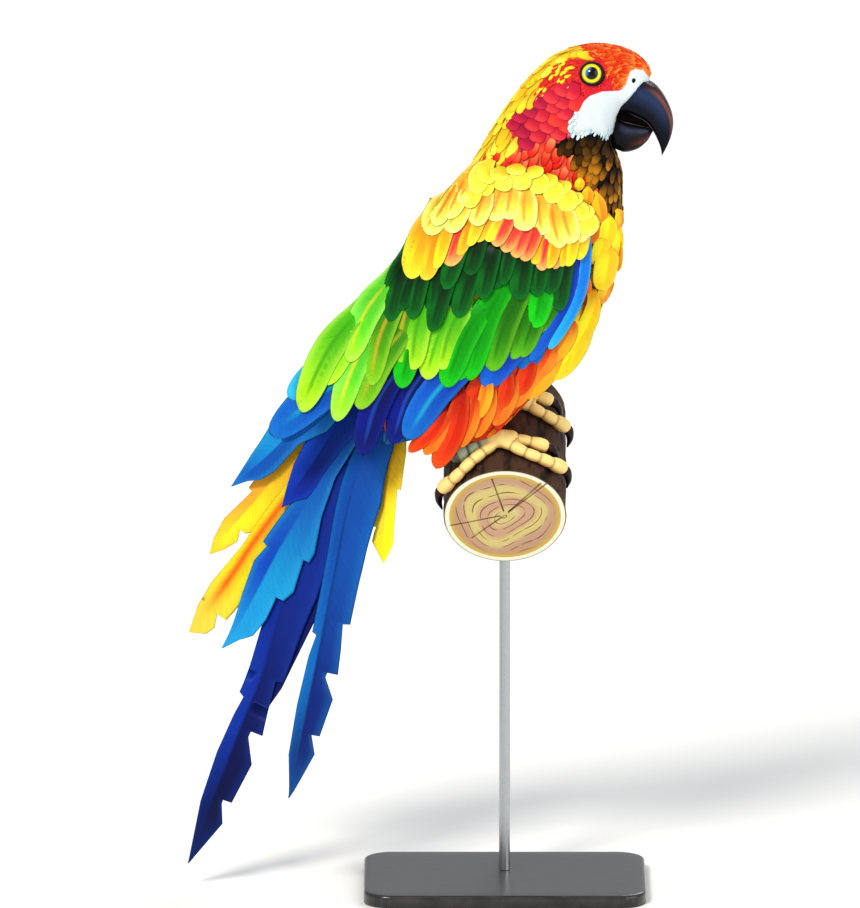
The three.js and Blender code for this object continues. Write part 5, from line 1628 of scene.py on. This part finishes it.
for side, name in SIDES:
    forward = np.array([0, side * math.cos(EYE_TILT), math.sin(EYE_TILT)])
    upward = np.array([0, -side * math.sin(EYE_TILT), math.cos(EYE_TILT)])
    front = np.array([EYE[0], side * (body_form.depth(np.array([EYE]))[0] + EYE_STANDS), EYE[1]])
    centre = front - forward * (EYE_BALL + 0.5)

    angle = np.linspace(0, math.pi, 56)[1:-1, None]
    radius = EYE_BALL * np.sin(angle)
    out = EYE_BALL * np.cos(angle) + 0.5 * hill(radius, 0, 6) * (angle < 1)
    rings = round_gaze(centre, forward, upward, around_circle(EYE_AROUND), radius, out)
    lathed = closed_rings(rings, front, centre - forward * EYE_BALL)
    ball = combined(f"eye_{name}_ball", [lathed], eye_finish)

    from_front = np.concatenate([[0], np.repeat(angle, EYE_AROUND), [math.pi]])
    turn = np.concatenate([[0], np.tile(around_circle(EYE_AROUND), len(angle)), [0]])
    reach = EYE_BALL * np.sin(from_front)
    threads = 0.5 + 0.5 * np.sin(turn * 32 + 2 * np.sin(turn * 7))
    iris = layered("#f2ea1c", ("#c8c010", threads * 0.4), ("#a8a40c", ease(reach, IRIS - 1.2, IRIS)))
    # the pupil is black, with a painted blue reflection on the side of the light
    painted_reflection = ease(reach, 1.5, PUPIL) * ease(np.cos(turn - 2.7), 0.2, 1.0)
    tint = layered("#010206", ("#4c90dc", painted_reflection), (iris, ease(reach, PUPIL - 0.3, PUPIL + 0.3)))
    seen = (from_front < 1.2) & (reach < IRIS + 0.2)
    finished(ball, "eye_surface", f"eye_{name}", tint=layered("#060708", (tint, seen)))

    # the lid is a low soft ring with fine creases that run across it
    turn = around_circle(96)[:, None]
    around = around_circle(14)
    thick = LID_HALF * (1 + 0.05 * np.sin(turn * 29))
    out = math.sqrt(EYE_BALL**2 - LID_RADIUS**2) - 0.1 + thick * np.sin(around)
    lid = round_gaze(centre, forward, upward, turn, LID_RADIUS + thick * np.cos(around), out)
    index = np.arange(turn.size * around.size).reshape(turn.size, around.size)
    along, across = np.roll(index, -1, 0), np.roll(index, -1, 1)
    faces = np.stack([index, along, np.roll(along, -1, 1), across], -1).reshape(-1, 4)
    lid_ring = combined(f"lid_{name}", [(lid.reshape(-1, 3), faces)], scale_finish)
    finished(lid_ring, "tongue_skin", tint="#0a1216")

# %% Nostrils
NOSTRIL = (117.2, 324.6)
for side, name in SIDES:
    depth = body_form.depth(np.array([NOSTRIL]))[0]
    spot, way, _, _ = skin_bvh.find_nearest(Vector(placed([NOSTRIL[0], side * depth, NOSTRIL[1]])))
    spot = from_perch(spot) - np.array(way) * 1.5
    # each nostril is a near-black capsule set into the cere: its colour is painted shade for the dark
    # opening
    hole = tube([spot - [0.2, 0, 0.9], spot + [0.2, 0, 0.9]], [2.1, 2.1], 20, 6)
    finished(combined(f"nostril_{name}", [hole], scale_finish), "tongue_skin", tint="#06070a")

# %% [markdown]
# ## Feet and claws
#
# A parrot holds on with two toes in front and two behind, each a chain of soft pads ringed by narrow
# scutes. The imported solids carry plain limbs. Here each toe is drawn with a swelling for every scute and
# welded with the palm by voxels, so that pads meet in creases as flesh does. The claws are turned horn.

# %% Toes with their scutes
SCUTE = 13.0  # mm from one ring of a toe to the next
TOE_SIZES = [6.6, 5.6, 5.3, 5.8, 7.4]  # radii from palm to tip in mm: slim in the middle, full at the tip
TOE_SINK = 0.6  # mm that a toe's tip is pressed on the log, and that its root stands over it
scute_paths = []


def ringed(path, radii, steps):
    """A limb with a swelling for every scute; its path is kept to colour the grooves."""
    places = smooth_line(path, steps)
    gone = run_along(places)
    count = max(round(gone[-1] / SCUTE), 1)
    phase = gone / gone[-1] * count
    swell = 1 - 0.13 * np.abs(np.cos(math.pi * phase)) ** 5
    scute_paths.append((places, phase, np.clip(np.minimum(phase, count - phase) * 4 - 1, 0, 1)))
    return tube(places, spread(radii, steps) * swell, 20)


def toe_path(along, turn, steps):
    steps = np.array(steps, float)
    radius = spread(TOE_SIZES, len(steps)) + LOG_RADIUS + np.linspace(TOE_SINK, -TOE_SINK, len(steps))
    return on_log(along + steps[:, 0], turn + steps[:, 1], radius)


def nearest_on(path, place):
    """The number of the point of a path that lies nearest to each place, and the gap to it in mm."""
    gap = np.linalg.norm(place[:, None] - path[None], axis=2)
    return gap.argmin(1), gap.min(1)


# %% Feet, shanks and claws
CLAW = [(0, 0, 5.2), (7, 1, 4.6), (16, -1.4, 3.0), (25, -5.4, 0.8)]  # degrees round the log, lift, radius

for side, name in SIDES:
    along, turn, _, toes = FEET[name]
    _, heel, ankle = leg_points(side, name)
    scute_paths.clear()
    parts = [
        ringed(toe_path(along, turn, steps), TOE_SIZES, 60 if len(steps) == 4 else 44)
        for steps in toes.values()
    ]
    palm_radius = np.full(3, LOG_RADIUS + TOE_RADIUS + 1)
    palm = on_log(along + np.array([-1, 0, 1]), turn + np.array([-9, 0, 9]), palm_radius)
    parts.append(tube(palm, [7.4, 8.8, 7.4], steps=12))
    parts.append(tube([ankle, mix(ankle, heel, 0.25)], [7.4, 7.0], steps=12))
    foot = welded(f"foot_{name}_skin", combined("rough_foot", parts), 0.85, 3, scale_finish)
    place = places_of(foot)
    nearest = np.full(len(place), np.inf)
    groove = np.zeros(len(place))
    for path, phase, inner in scute_paths:
        closest, distance = nearest_on(path, place)
        dark = np.abs(np.cos(math.pi * phase[closest])) ** 40 * inner[closest]
        groove = np.where(distance < nearest, dark, groove)
        nearest = np.minimum(nearest, distance)
    from_axis = place - LOG_AXIS
    height = np.linalg.norm(from_axis - (from_axis @ log_along)[:, None] * log_along, axis=1) - LOG_RADIUS
    # low on each toe, next to the log, the tint darkens to painted shade; the grooves between scutes are
    # darker lines of the skin
    tint = layered("#c88c4c", ("#f6da8c", ease(height, 0, 9)), ("#a06a3c", groove * 0.75))
    finished(foot, "foot_skin", f"foot_{name}", tint=tint)

    scute_paths.clear()
    limb = ringed([heel, mix(heel, ankle, 0.8)], [9.0, 8.2, 7.2], 60)
    shank = combined(f"shank_{name}_skin", [limb], scale_finish)
    path, phase, _ = scute_paths[0]
    dark = np.abs(np.cos(math.pi * phase[nearest_on(path, places_of(shank))[0]])) ** 10
    finished(shank, "foot_skin", f"shank_{name}", tint=layered("#b4c2a4", ("#3a4844", dark * 0.75)))

    for toe, steps in toes.items():
        drift = steps[-1][0] - steps[-2][0]
        way = -1 if "back" in toe else 1
        degrees, lift, radii = np.array(CLAW).T
        path = smooth_line(on_log(
            along + steps[-1][0] + drift * 0.1 * np.arange(len(CLAW)),
            turn + steps[-1][1] + way * degrees, LOG_RADIUS + TOE_RADIUS - 0.4 + lift,
        ), 26)
        claw = combined(f"claw_{name}_{toe}_horn", [tube(path, spread(radii, 26), 20, 5)], claw_finish)
        gone = nearest_on(path, places_of(claw))[0] / 25
        tint = layered("#3a1a1c", ("#0a070a", ease(gone, 0.1, 0.6)))
        finished(claw, "claw_horn", f"claw_{name}_{toe}", tint=tint)

# %% [markdown]
# ## The log and its stand
#
# The perch is a short cut length: dark furrowed bark round pale wood, sawn square at both ends. Its rings
# wander round an off-centre heart and dried into a few radial cracks. Bark could be a texture only, but
# its furrows must show on the outline, so they are modelled, and the shader adds the finer grain.

# %% Bark
LOG_ROUND, LOG_LONG = 240, 110
BARK_DEPTH = 2.6  # mm
FURROWS = [  # waves round the log, how fast they wander along it, where they start, their weight
    (9, 0.05, 0.3, 0.5), (17, 0.09, 1.7, 0.35), (31, -0.13, 4.1, 0.25),
]


def furrows(turn, along):
    """Height of the bark at a place, 0 to 1; it meets itself round the log."""
    depth = 0
    for waves, stretch, phase, weight in FURROWS:
        bend = 0.6 * np.sin(along * stretch + phase)
        bend = bend + 0.25 * np.sin(along * stretch * 2.7 + turn * 2 + phase)
        depth = depth + weight * np.abs(np.sin((turn * waves + bend * 2) / 2))
    plates = 0.5 + 0.5 * np.sin(along * 0.16 + 3 * np.sin(turn * 3) + 2 * np.sin(turn * 7 + along * 0.05))
    return np.clip(depth - 0.25 * plates**6, 0, 1)


turn = around_circle(LOG_ROUND)[None]
along = np.linspace(LOG_NEAR, LOG_FAR, LOG_LONG)[:, None]
bark = furrows(turn, along)
from_end = np.minimum(along - LOG_NEAR, LOG_FAR - along)
# the sawn edges are worn round
radius = LOG_RADIUS - 0.2 - BARK_DEPTH * (1 - bark) * ease(from_end, -1, 7) - 0.8 * np.exp(-from_end / 0.8)
log_rings = [on_log(along + 0 * turn, np.degrees(turn) + 0 * along, radius)]
print("bark from", round(radius.min(), 1), "to", round(radius.max(), 1), "mm from the log's axis")

# %% Sawn faces
FACE_RINGS = 58
HEART = np.array([0.0, 1.0])  # mm from the axis, across and up
CRACKS = [(0.80, 55), (0.88, 52), (1.84, 47), (3.40, 53), (3.89, 42)]  # direction in radians, length in mm

face_share = np.linspace(1, 0, FACE_RINGS + 2)[1:-1, None]
crack_marks = []
for row, along_end, inward in ((0, LOG_NEAR, 1), (-1, LOG_FAR, -1)):
    reach = radius[row] * face_share
    from_heart_x, from_heart_z = reach * np.sin(turn) - HEART[0], reach * np.cos(turn) - HEART[1]
    from_heart = np.hypot(from_heart_x, from_heart_z)
    direction = np.arctan2(from_heart_z, from_heart_x)
    split = 0 * from_heart
    for crack, length in CRACKS:
        off = np.abs(np.angle(np.exp(1j * (direction - crack)))) * from_heart
        open_width = 0.35 + 0.45 * (1 - np.clip(from_heart / length, 0, 1))
        split = np.maximum(split, hill(off, 0, open_width) * (from_heart < length) * (from_heart > 4))
    crack_marks.append(split)
    dip = 0.12 * np.sin(from_heart * 1.9) - 0.9 * split
    face = on_log(along_end - inward * dip, np.degrees(turn) + 0 * face_share, reach)
    log_rings = [face[::-1], *log_rings] if inward > 0 else [*log_rings, face]
poles = on_log(np.array([LOG_NEAR, LOG_FAR]), np.zeros(2), np.zeros(2))
log = combined("cut_log", [closed_rings(np.concatenate(log_rings), *poles)])


def put_on_log(name, side, faces, middle):
    """Writes one number for each place: the log's side, its faces from the rim inward, their middles."""
    near, far = (np.broadcast_to(face, (FACE_RINGS, LOG_ROUND)) for face in faces)
    side = np.broadcast_to(side, bark.shape)
    values = [[middle], near[::-1].ravel(), side.ravel(), far.ravel(), [middle]]
    put_attribute(log.data, name, np.concatenate(values))


put_on_log("bark", 1, (0, 0), 0)
put_on_log("bark_height", bark, (1, 1), 1)
put_on_log("crack", 0, crack_marks, 0)
put_on_log("from_rim", 0, [LOG_RADIUS * (1 - face_share)] * 2, LOG_RADIUS)
log_place = places_of(log) - LOG_AXIS
put_attribute(log.data, "grain", np.stack([log_place[:, 0], log_place @ log_up, log_place @ log_along], 1))

# %% [markdown]
# ## Sawn wood and bark
#
# Both faces show pale sapwood, growth rings and a few dark cracks, and the bark is almost black. An image
# of each would have to be wrapped round the log. Here one shader knows from attributes where the bark is
# and how far from the rim a place lies, and noise bends its rings, so that it stays sharp at any size.

# %% Log material
RING_PITCH = 7.0  # mm
HEARTWOOD = [  # by the share of the radius
    (0.0, "#d2c080"), (0.16, "#dccb8c"), (0.26, "#cfa886"), (0.4, "#cda688"), (0.5, "#dccb80"),
    (0.6, "#d9c684"), (0.68, "#c9a386"), (0.8, "#c69f80"),
]
SAPWOOD = [(0.0, "#f4f0d2"), (0.3, "#f9f6dc"), (0.37, "#d6b468"), (0.62, "#cfaa58")]
BARK_TONES = [(0.3, "#0a0504"), (0.8, "#28160d"), (1.0, "#4a3022")]

log_material, tree, shader = new_material("Dry bark and sawn wood", Roughness=0.75)
grain = add_node(tree, "ShaderNodeAttribute", output="Vector", attribute_name="grain")
is_bark, ridge, from_rim, cracked = (
    add_node(tree, "ShaderNodeAttribute", output="Fac", attribute_name=name)
    for name in ("bark", "bark_height", "from_rim", "crack")
)
flat = add_node(tree, "ShaderNodeVectorMath", {0: grain, 1: (1, 1, 0)}, operation="MULTIPLY")
centred = add_node(tree, "ShaderNodeVectorMath", {0: flat, 1: (*HEART, 0)}, operation="SUBTRACT")
wide_noise = {"Vector": centred, "Scale": 0.02, "Detail": 0.0}
wander = add_node(tree, "ShaderNodeTexNoise", wide_noise, output="Color")
# the noise has a mean of a half, so half its reach comes off and the rings stay round the heart
balanced = add_node(tree, "ShaderNodeVectorMath", {0: centred, 1: (12, 12, 0)}, operation="SUBTRACT")
pulled = add_node(
    tree, "ShaderNodeVectorMath", {0: wander, 1: (24, 24, 0), 2: balanced}, operation="MULTIPLY_ADD"
)
distance = add_node(tree, "ShaderNodeVectorMath", {0: pulled}, operation="LENGTH")
tone = add_node(tree, "ShaderNodeMath", {0: distance, 1: LOG_RADIUS}, operation="DIVIDE")
heartwood = add_node(tree, "ShaderNodeValToRGB", {"Fac": tone}, stops=HEARTWOOD)
# growth rings wider than the 2 to 3 mm of most trees, so that they read from a distance, and broken where
# the saw smeared them
phase = add_node(tree, "ShaderNodeMath", {0: distance, 1: 2 * math.pi / RING_PITCH}, operation="MULTIPLY")
wave = add_node(tree, "ShaderNodeMath", {0: phase}, operation="SINE")
line = add_node(tree, "ShaderNodeMapRange", {"Value": wave, "From Min": 0.86, "From Max": 1.0})
smear = add_node(tree, "ShaderNodeTexNoise", {"Vector": centred, "Scale": 0.055, "Detail": 1.0})
kept = add_node(tree, "ShaderNodeMapRange", {"Value": smear, "From Min": 0.4, "From Max": 0.5})
arc = add_node(tree, "ShaderNodeMath", {0: line, 1: kept}, operation="MULTIPLY")
ring_tint = add_node(tree, "ShaderNodeValToRGB", {"Fac": arc}, stops=((0, "#8a4c3c"), (1, "#7c4234")))
wood = add_node(tree, "ShaderNodeMix", {0: arc, 6: heartwood, 7: ring_tint}, data_type="RGBA")
# pale sapwood runs round the rim
rim_share = add_node(tree, "ShaderNodeMapRange", {"Value": from_rim, "From Max": 14.0})
sapwood = add_node(tree, "ShaderNodeValToRGB", {"Fac": rim_share}, stops=SAPWOOD)
inside = add_node(tree, "ShaderNodeMapRange", {"Value": from_rim, "From Min": 8.0, "From Max": 11.0})
sawn = add_node(tree, "ShaderNodeMix", {0: inside, 6: sapwood, 7: wood}, data_type="RGBA")
dark = add_node(tree, "ShaderNodeValToRGB", {"Fac": cracked}, stops=((0, "#6a3428"), (1, "#40201a")))
face_colour = add_node(tree, "ShaderNodeMix", {0: cracked, 6: sawn, 7: dark}, data_type="RGBA")
# bark grain: ridges a few mm apart, drawn out along the log, with finer flakes
drawn_out = add_node(tree, "ShaderNodeVectorMath", {0: grain, 1: (1, 1, 0.25)}, operation="MULTIPLY")
flakes = {"Vector": drawn_out, "Scale": 0.4, "Detail": 5.0, "Roughness": 0.6}
bark_noise = add_node(tree, "ShaderNodeTexNoise", flakes)
bark_tone = add_node(tree, "ShaderNodeMath", {0: bark_noise, 1: 0.8, 2: ridge}, operation="MULTIPLY_ADD")
bark_colour = add_node(tree, "ShaderNodeValToRGB", {"Fac": bark_tone}, stops=BARK_TONES)
both = add_node(tree, "ShaderNodeMix", {0: is_bark, 6: face_colour, 7: bark_colour}, data_type="RGBA")
relief = add_node(tree, "ShaderNodeMath", {0: bark_noise, 1: is_bark}, operation="MULTIPLY")
surfaced(tree, shader, both, relief, 0.7, 0.8)
log.data.materials.append(log_material)
finished(log, "log_wood", "perch_log")

# %% [markdown]
# ## Stand
#
# The log is held by two steel rods on a lacquered wooden plate, as museums mount a perch. The plate is
# drawn with a soft rounded edge instead of a plain block.

# %% Lacquer and steel
def fine_lines(tree, stretch, detail):
    """Noise over a piece's own place, drawn out into fine lines."""
    place = add_node(tree, "ShaderNodeTexCoord", output="Object")
    drawn_out = add_node(tree, "ShaderNodeMapping", {"Vector": place, "Scale": stretch})
    return add_node(tree, "ShaderNodeTexNoise", {"Vector": drawn_out, "Scale": 1.0, "Detail": detail})


lacquer, tree, shader = new_material(
    "Satin dark lacquer", Roughness=0.3, Coat_Weight=0.35, Coat_Roughness=0.2
)
lines = fine_lines(tree, (60.0, 900.0, 60.0), 4.0)
dark = add_node(tree, "ShaderNodeValToRGB", {"Fac": lines}, stops=((0.35, "#1c1a1b"), (0.7, "#3a3635")))
surfaced(tree, shader, dark, lines, 0.15, 0.1)

steel, tree, shader = new_material("Fine brushed steel", Metallic=1.0, Roughness=0.28)
brush = fine_lines(tree, (300.0, 300.0, 6000.0), 2.0)
pale = add_node(tree, "ShaderNodeValToRGB", {"Fac": brush}, stops=((0, "#9a9ea2"), (1, "#d2d4d6")))
tree.links.new(pale, shader.inputs["Base Color"])
for name in ("stand_rod_front", "stand_rod_back"):
    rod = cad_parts[name]
    rod.data.materials.clear()
    rod.data.materials.append(steel)
    print(name, "keeps its packed form, in", steel.name)

# %% The plate
PLATE_LENGTH, PLATE_DEPTH, PLATE_THICK, PLATE_CORNER, PLATE_EDGE = 260.0, 180.0, 12.0, 26.0, 3.0
PLATE_INNER = 20.0  # mm from the outline to the innermost ring

lap = np.radians(np.concatenate([np.linspace(first, first + 90, 17) for first in (0, 90, 180, 270)]))
corner_x, corner_y = (np.repeat(signs, 17) for signs in ((1, -1, -1, 1), (1, 1, -1, -1)))


def plate_ring(inset, z):
    """One ring round the plate, that far inside its outline and at that height over the floor."""
    bend = PLATE_CORNER - inset
    x = corner_x * (PLATE_LENGTH / 2 - PLATE_CORNER) + np.cos(lap) * bend
    y = corner_y * (PLATE_DEPTH / 2 - PLATE_CORNER) + np.sin(lap) * bend
    return np.stack([x, y, np.full(len(x), z - PERCH_HEIGHT)], 1)


plate_rings = [plate_ring(PLATE_INNER, 0), plate_ring(0.8, 0), plate_ring(0, 0.8)]
for angle in np.radians(np.linspace(0, 90, 9)):
    inset, drop = PLATE_EDGE * (1 - math.cos(angle)), PLATE_EDGE * (1 - math.sin(angle))
    plate_rings.append(plate_ring(inset, PLATE_THICK - drop))
plate_rings.append(plate_ring(PLATE_INNER, PLATE_THICK))
plate_middle = [(0, 0, z - PERCH_HEIGHT) for z in (0, PLATE_THICK)]
plate = combined("stand_plate_lacquered", [closed_rings(np.array(plate_rings), *plate_middle)], lacquer)
finished(plate, "stand_plate", "stand_base")
